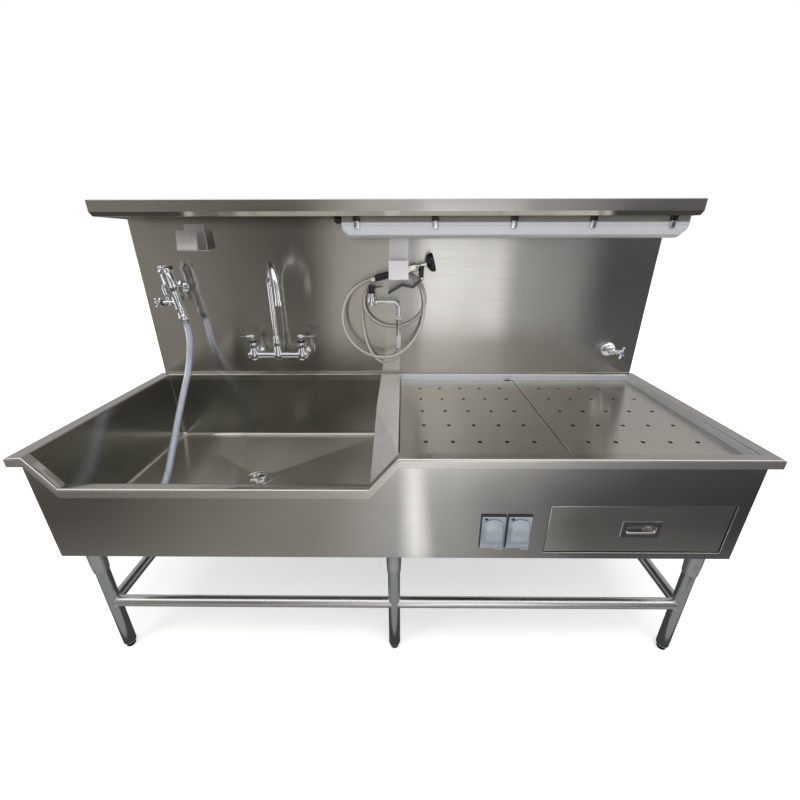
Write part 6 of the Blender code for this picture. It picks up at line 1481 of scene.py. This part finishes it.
wall_shank(part, ASPIRATOR_FOOT.x - math.tan(ASPIRATOR_LEAN) * SHANK_RISE, ASPIRATOR_FOOT.y,
           ASPIRATOR_FOOT.z + SHANK_RISE, 0.011, 0.026)
take_in(bm, part)
stand_in(place("aspirator_cast", bm, [chrome, black_rubber], 40), "aspirator_body", slot="polished_chrome")


def cross_handle(name, node, body, hub, axis, radius, length, arm, arm_radius, lean, materials):
    """Hub with a domed cap and four round arms with ball ends; the cap takes the second material."""
    axis = Vector(axis).normalized()
    bm = bmesh.new()
    lathe(bm, [(0, 0), (radius * 0.92, 0), (radius, length * 0.06), (radius, length * 0.72),
               (radius * 0.92, length * 0.80), (0, length * 0.80)], hub, axis, 36)
    across = axis.cross(Vector((0, 0, 1))).normalized()
    middle = Vector(hub) + axis * length * 0.5
    for quarter in range(4):
        a = math.radians(90 * quarter + 45 + lean)
        way = across * math.cos(a) + axis.cross(across) * math.sin(a)
        r, root = arm_radius, radius * 0.5
        lathe(bm, [(0, root), (r * 1.15, root), (r * 0.80, root + (arm - root) * 0.45),
                   (r * 0.90, arm - r * 1.5), (r * 1.25, arm - r * 0.7), (r * 1.35, arm),
                   (r * 1.20, arm + r * 0.75), (r * 0.7, arm + r * 1.12), (0, arm + r * 1.2)], middle, way,
              24)
    lathe(bm, [(0, length * 0.78), (radius * 0.80, length * 0.78), (radius * 0.78, length * 0.90),
               (radius * 0.62, length * 0.97), (0, length)], hub, axis, 32, 1)
    stand_in(place(name, bm, materials, 40), node, body, "polished_chrome")


cross_handle("aspirator_cross_handle", "aspirator_handle", "aspirator_cross", stem_foot + level * 0.0663,
             level, 0.0085, 0.026, 0.021, 0.0040, 4.0, [chrome, chrome])


# Spray valve
# Chrome-plated wall valve with a dark lever, and a bent riser pipe that turns down into the sleeve of
# the hose.

VALVE_X, VALVE_Y, VALVE_LOW, VALVE_TOP = -0.100, 0.300, 1.166, 1.218
PIPE_X, PIPE_Z, PIPE_RADIUS = 0.011, 1.184, 0.0078
SLEEVE_LOW, SLEEVE_TOP = 0.986, 1.129
bm = bmesh.new()
turned(bm, [(0, VALVE_LOW), (0.0105, VALVE_LOW), (0.0113, VALVE_LOW + 0.001), (0.0145, VALVE_LOW + 0.007),
            (0.0150, VALVE_LOW + 0.009), (0.0150, VALVE_TOP - 0.017), (0.0143, VALVE_TOP - 0.014),
            (0.0120, VALVE_TOP - 0.010), (0.0120, VALVE_TOP - 0.0008), (0.0112, VALVE_TOP), (0, VALVE_TOP)],
       (VALVE_X, VALVE_Y, 0), sides=36)
riser = [(VALVE_X, VALVE_Y, PIPE_Z), (PIPE_X, VALVE_Y, PIPE_Z), (PIPE_X, VALVE_Y, SLEEVE_LOW + 0.004)]
tube(bm, bent(riser, 0.026, 12), PIPE_RADIUS, 24)
turned(bm, [(0, 0.013), (0.0115, 0.013), (0.0122, 0.0138), (0.0122, 0.0222), (0.0115, 0.023), (0, 0.023)],
       (VALVE_X, VALVE_Y, PIPE_Z), (1, 0, 0), 6)
turned(bm, [(0, SLEEVE_LOW), (0.0100, SLEEVE_LOW), (0.0110, SLEEVE_LOW + 0.001),
            (0.0110, SLEEVE_LOW + 0.018), (0.0102, SLEEVE_LOW + 0.020), (0.0102, SLEEVE_TOP - 0.022),
            (0.0110, SLEEVE_TOP - 0.020), (0.0110, SLEEVE_TOP - 0.008), (0.0095, SLEEVE_TOP - 0.003),
            (0.0082, SLEEVE_TOP), (0, SLEEVE_TOP)], (PIPE_X, VALVE_Y, 0), sides=32)
wall_shank(bm, VALVE_X, VALVE_Y, (VALVE_LOW + VALVE_TOP) / 2, 0.0105, 0.018)
outwards(bm)
stand_in(place("spray_valve_cast", bm, chrome, 40), "spray_valve", slot="polished_chrome")
lever_steel = moulded("black_coated_lever", "#1D1E21", 0.30)
lever_handle("spray_valve_lever", "spray_valve_handle", "spray_lever", (VALVE_X, VALVE_Y, VALVE_TOP + FIT),
             1, 0.046, 0.0045, [lever_steel, black_rubber], "dark_steel")


# Hand spray
# Pot-washing spray: steel ferrule, black ribbed rubber grip, plated neck with cheeks for the squeeze lever,
# and a black rubber bell. It hangs in its hook by the grip.

GUN_Y, GUN_LEAN, GUN_LENGTH = 0.2945, math.radians(15), 0.228
GUN_TAIL = Vector((-0.098, GUN_Y, 1.2715))
GUN_AXIS = Vector((math.cos(GUN_LEAN), 0, math.sin(GUN_LEAN)))
PIVOT = Vector((0.104, GUN_Y, 1.276))
LEVER_REACH, LEVER_DROP, LEVER_THICK, LEVER_HALF = 0.134, 0.056, 0.0105, 0.007
neck_chrome = polished_chrome("plated_spray_neck", "#F1EDE2", 0.16)

bm = bmesh.new()
lathe(bm, [(0, 0), (0.0088, 0), (0.0095, 0.0008), (0.0095, 0.0120), (0.0086, 0.0128), (0.0086, 0.0145),
           (0.0098, 0.0155), (0.0104, 0.018), (0, 0.018)], GUN_TAIL, GUN_AXIS, 32, 1)
profile = [(0, 0.0165), (0.0108, 0.0165), (0.0120, 0.0190), (0.0136, 0.0280), (0.0140, 0.0310)]
for n in range(14):
    at = 0.034 + 0.0062 * n
    profile += [(0.0138, at), (0.0131, at + 0.0012), (0.0131, at + 0.0024), (0.0139, at + 0.0036)]
profile += [(0.0140, 0.1225), (0.0130, 0.1262), (0, 0.1262)]
lathe(bm, profile, GUN_TAIL, GUN_AXIS, 32)
lathe(bm, [(0, 0.125), (0.0119, 0.125), (0.0119, 0.1300), (0.0108, 0.1315), (0.0108, 0.1480),
           (0.0158, 0.1500), (0.0162, 0.1520), (0.0162, 0.1830), (0.0150, 0.1865), (0.0100, 0.1950),
           (0.0080, 0.1985), (0.0080, 0.2215), (0.0092, 0.2228), (0.0095, 0.2242), (0.0095, 0.2275),
           (0.0090, 0.228), (0, 0.228)], GUN_TAIL, GUN_AXIS, 32, 1)
eye = 0.0060
top = GUN_TAIL.z + (PIVOT.x - GUN_TAIL.x) * math.tan(GUN_LEAN)
outline = [(PIVOT.x - 2 * eye, top - eye * 0.7), (PIVOT.x - eye * 1.02, PIVOT.z - eye * 0.4),
           (PIVOT.x - eye * 0.5, PIVOT.z - eye * 0.95), (PIVOT.x + eye * 0.5, PIVOT.z - eye * 0.95),
           (PIVOT.x + eye * 1.02, PIVOT.z - eye * 0.4), (PIVOT.x + 1.5 * eye, top)]
for dy in (-0.0078, 0.0078):
    cheek = bmesh.new()
    slab(cheek, outline, "Y", about(GUN_Y + dy, 0.0015))
    outwards(cheek)
    soften(cheek, 0.0005)
    take_in(bm, cheek)
lathe(bm, [(0, -0.0098), (0.0036, -0.0098), (0.0036, -0.0086), (0.0022, -0.0084), (0.0022, 0.0084),
           (0.0036, 0.0086), (0.0036, 0.0098), (0, 0.0098)], PIVOT, (0, 1, 0), 20, 1)
stand_in(place("hand_spray", bm, [black_rubber, neck_chrome], 40), "spray_gun", slot="black_rubber")

bm = bmesh.new()
nose = GUN_TAIL + GUN_AXIS * (GUN_LENGTH + FIT)
turned(bm, [(0, 0), (0.0112, 0), (0.0120, 0.0008), (0.0150, 0.0022), (0.0205, 0.0045), (0.0265, 0.0075),
            (0.0315, 0.0110), (0.0345, 0.0150), (0.0358, 0.0190), (0.0360, 0.0225), (0.0360, 0.0265),
            (0.0350, 0.0285), (0.0325, 0.0300), (0.0300, 0.0296), (0.0270, 0.0268), (0.0240, 0.0262),
            (0.0080, 0.0258), (0.0070, 0.0248), (0, 0.0246)], nose, GUN_AXIS, 48)
stand_in(place("spray_bell", bm, black_rubber, 40), "spray_bumper", slot="black_rubber")

trigger_grey = moulded("dark_grey_coated_steel", "#33363A", 0.34)
shape = [(0, 0.036), (0.254, 0.589), (0.582, 0.430), (1, 1)]
line = bent([(PIVOT.x - LEVER_REACH * a, PIVOT.z - LEVER_DROP * b) for a, b in shape], 0.010)
part = bmesh.new()
slab(part, strip(line, LEVER_THICK), "Y", about(GUN_Y, LEVER_HALF))
outwards(part)
soften(part, 0.0012, limit=1.0)
bm = bmesh.new()
take_in(bm, part)
lathe(bm, [(0.0025, -0.006), (0.0056, -0.006), (0.0060, -0.0055), (0.0060, 0.0055), (0.0056, 0.006),
           (0.0025, 0.006)], PIVOT, (0, 1, 0), 28)
squeeze = place("spray_squeeze_lever", bm, trigger_grey, 40, even=True)
stand_in(squeeze, "spray_trigger", "spray_trigger_body", "grey_plastic")


# Wall valve
# Small chrome-plated valve on the back panel at the right: domed flange, round body, an outlet nozzle
# and a cross handle with a blue index on its cap.

WALL_VALVE, BALL_RADIUS = Vector((0.934, 0.312, 0.972)), 0.0145
STEM_TURN = math.radians(40)
stem = Vector((math.sin(STEM_TURN), -math.cos(STEM_TURN), 0))
nozzle = Vector((-math.cos(STEM_TURN), -math.sin(STEM_TURN), 0))
blue_index = moulded("blue_index_enamel", "#1D49B8", 0.22)
bm = bmesh.new()
wall_shank(bm, *WALL_VALVE, 0.0116, 0.031)
ball = [(BALL_RADIUS * math.cos(a), BALL_RADIUS * math.sin(a))
        for a in (math.pi * n / 12 for n in range(-5, 6))]
turned(bm, [(0, -BALL_RADIUS)] + ball + [(0, BALL_RADIUS)], WALL_VALVE, sides=36)
turned(bm, [(0, 0), (0.0090, 0), (0.0090, 0.0160), (0.0104, 0.0168), (0.0108, 0.0175), (0.0108, 0.0238),
            (0.0104, 0.0245), (0.0075, 0.0258), (0.0075, 0.030), (0, 0.030)], WALL_VALVE, stem, 6)
turned(bm, [(0, 0), (0.0088, 0), (0.0088, 0.0205), (0.0096, 0.0215), (0.0096, 0.0290), (0.0090, 0.030),
            (0.0058, 0.030), (0.0058, 0.018), (0, 0.018)], WALL_VALVE, nozzle, 32)
outwards(bm)
stand_in(place("wall_valve_cast", bm, chrome, 40), "wall_valve_body", slot="polished_chrome")
cross_handle("wall_valve_cross_handle", "wall_valve_handle", "wall_valve_cross", WALL_VALVE + stem * 0.0303,
             stem, 0.0095, 0.016, 0.022, 0.0042, 12.0, [chrome, blue_index])


# Clear hose
# Thick-walled clear vinyl hose, pushed on the aspirator's foot, hanging over the sink to its floor.
# It has a real wall and bore, and flat cut ends.

CLEAR_RADIUS, CLEAR_WALL = 0.0125, 0.003
CLEAR_ROUTE = [(-0.8620, 0.2660, 1.0380), (-0.8660, 0.2500, 0.9780), (-0.8680, 0.2100, 0.9070),
               (-0.8690, 0.1650, 0.8560), (-0.8700, 0.0750, 0.7540), (-0.8690, -0.0100, 0.6560),
               (-0.8660, -0.0700, 0.5960), (-0.8600, -0.1250, 0.5700), (-0.8500, -0.1850, 0.5670)]


def smooth_line(points, spacing):
    """Points at about an even spacing on a smooth curve through some route points."""
    knots = [Vector(point) for point in points]
    knots = [2 * knots[0] - knots[1]] + knots + [2 * knots[-1] - knots[-2]]
    line = []
    for before, start, end, after in zip(knots, knots[1:], knots[2:], knots[3:]):
        steps = max(2, round((end - start).length / spacing))
        for step in range(steps):
            t = step / steps
            line.append(0.5 * (2 * start + (end - before) * t
                               + (2 * before - 5 * start + 4 * end - after) * t ** 2
                               + (3 * start - before - 3 * end + after) * t ** 3))
    return line + [knots[-2]]


def line_length(line):
    """Length along a line of points."""
    return sum((end - start).length for start, end in zip(line, line[1:]))


# PVC, plasticised and extruded: the eye gets a clear wall with a slight milky bloom and bright edges
clear_vinyl, tree, shader = new_material("clear_vinyl")
shader.inputs["IOR"].default_value = 1.50
shader.inputs["Transmission Weight"].default_value = 0.80
cloud = add(tree, "ShaderNodeTexNoise", {},
            {"Vector": add(tree, "ShaderNodeTexCoord").outputs["Object"], "Scale": 1 / 0.03, "Detail": 2.0})
haze = add(tree, "ShaderNodeMapRange", {}, {"Value": cloud.outputs["Fac"], "To Min": 0.02, "To Max": 0.07})
tree.links.new(haze.outputs["Result"], shader.inputs["Roughness"])
milk = add(tree, "ShaderNodeValToRGB", {}, {"Fac": cloud.outputs["Fac"]})
milk.color_ramp.elements[0].color = srgb("#DDE4F8")
milk.color_ramp.elements[1].color = srgb("#F8FAFE")
tree.links.new(milk.outputs["Color"], shader.inputs["Base Color"])


def hose_wall(group, entry):
    """Outer and inner skin along the line."""
    skins = []
    for key in ("Outside", "Inside"):
        ring = add(group, "GeometryNodeCurvePrimitiveCircle", {},
                   {"Resolution": 28, "Radius": entry.outputs[key]})
        skins.append(add(group, "GeometryNodeCurveToMesh", {},
                         {0: entry.outputs[0], 1: ring.outputs[0]}).outputs[0])
    inner = add(group, "GeometryNodeFlipFaces", {}, {0: skins[1]})
    both = add(group, "GeometryNodeJoinGeometry")
    group.links.new(skins[0], both.inputs[0])
    group.links.new(inner.outputs[0], both.inputs[0])
    return both.outputs[0]


clear_line = [ASPIRATOR_FOOT - ASPIRATOR_UP * FIT]
clear_line += smooth_line([ASPIRATOR_FOOT - ASPIRATOR_UP * 2 * CLEAR_RADIUS] + CLEAR_ROUTE, 0.02)
clear_hose = grown("clear_hose", clear_line, hose_wall, clear_vinyl, Outside=CLEAR_RADIUS,
                   Inside=CLEAR_RADIUS - CLEAR_WALL)
bm = bmesh.new()
bm.from_mesh(clear_hose.data)
upper = [edge for edge in bm.edges if edge.is_boundary and edge.verts[0].co.z > CLEAR_ROUTE[0][2]]
bmesh.ops.bridge_loops(bm, edges=upper)
bmesh.ops.bridge_loops(bm, edges=[edge for edge in bm.edges if edge.is_boundary])
outwards(bm)
bm.to_mesh(clear_hose.data)
bm.free()
stand_in(clear_hose, "aspirator_hose", slot="clear_vinyl")
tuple(clear_line[0])
line_length(clear_line)


# Spray hose
# Stainless strip wound into a ribbed flexible hose, hung in turns over the spray hook. It runs from the
# sleeve under the spray valve to the tail of the hand spray.

SPRAY_RADIUS, SPRAY_RIB = 0.0072, 0.0032
SLEEVE_END = Vector((PIPE_X, VALVE_Y, SLEEVE_LOW - FIT))
SPRAY_TURNS = [(PIPE_X, VALVE_Y, 0.9713), (-0.048, 0.306, 0.924), (-0.143, 0.340, 1.120),
               (0.010, 0.3390, 1.3020), (0.122, 0.3395, 1.185), (-0.010, 0.334, 1.076),
               (-0.132, 0.320, 1.180), (0.010, 0.3220, 1.3008), (0.117, 0.318, 1.165),
               (-0.050, 0.274, 0.956), (-0.219, 0.280, 1.118)]


def turned_line(ends, last, steps):
    """Line of quarter ellipses, alternately leaving upright and level; the last one stops at an angle."""
    line = []
    turns = len(ends) - 1
    for number in range(turns):
        start, end = Vector(ends[number]), Vector(ends[number + 1])
        whole = last if number == turns - 1 else math.pi / 2
        for step in range(steps):
            angle = whole * step / steps
            quick, slow = math.sin(angle), 1 - math.cos(angle)
            across, upward = (slow, quick) if number % 2 == 0 else (quick, slow)
            smooth = (step / steps) ** 2 * (3 - 2 * step / steps)
            move = end - start
            line.append(start + Vector((move.x * across, move.y * smooth, move.z * upward)))
    return line


hose_end = GUN_TAIL - GUN_AXIS * FIT
straight_end = hose_end - GUN_AXIS * 2 * SPRAY_RADIUS
left = Vector(SPRAY_TURNS[-1])
ratio = math.tan(GUN_LEAN) * (straight_end.x - left.x) / (straight_end.z - left.z)
last_angle = math.acos(ratio / (1 - ratio))
top_end = (left.x + (straight_end.x - left.x) / (1 - math.cos(last_angle)), straight_end.y,
           left.z + (straight_end.z - left.z) / math.sin(last_angle))
spray_line = [SLEEVE_END] + turned_line(SPRAY_TURNS + [top_end], last_angle, 12) + [straight_end, hose_end]

hose_steel = brushed_steel("wound_steel_strip", "Z", "#D2D1CD", 0.20, 0.2, 0.0)


def ribbed_tube(group, entry):
    """Tube whose radius swells at each rib."""
    count = add(group, "ShaderNodeMath", {"operation": "DIVIDE"},
                {0: add(group, "GeometryNodeCurveLength", {}, {0: entry.outputs[0]}).outputs[0],
                 1: entry.outputs["Rib"]})
    points = add(group, "ShaderNodeMath", {"operation": "MULTIPLY"}, {0: count.outputs[0], 1: 3.0})
    even = add(group, "GeometryNodeResampleCurve", {},
               {"Curve": entry.outputs[0], "Count": points.outputs[0]})
    third = add(group, "ShaderNodeMath", {"operation": "MODULO"},
                {0: add(group, "GeometryNodeInputIndex").outputs[0], 1: 3.0})
    groove = add(group, "ShaderNodeMath", {"operation": "COMPARE"}, {0: third.outputs[0], 1: 0.0, 2: 0.1})
    swell = add(group, "ShaderNodeMath", {"operation": "MULTIPLY_ADD"},
                {0: groove.outputs[0], 1: -0.10, 2: 1.0})
    radius = add(group, "ShaderNodeMath", {"operation": "MULTIPLY"},
                 {0: swell.outputs[0], 1: entry.outputs["Radius"]})
    ring = add(group, "GeometryNodeCurvePrimitiveCircle", {}, {"Resolution": 14, "Radius": 1.0})
    tube_mesh = add(group, "GeometryNodeCurveToMesh", {},
                    {0: even.outputs[0], 1: ring.outputs[0], "Scale": radius.outputs[0], "Fill Caps": True})
    return tube_mesh.outputs[0]


spray_hose = grown("spray_hose_ribbed", spray_line, ribbed_tube, hose_steel, Rib=SPRAY_RIB,
                   Radius=SPRAY_RADIUS)
stand_in(spray_hose, "spray_hose", slot="steel_hose")
line_length(spray_line)
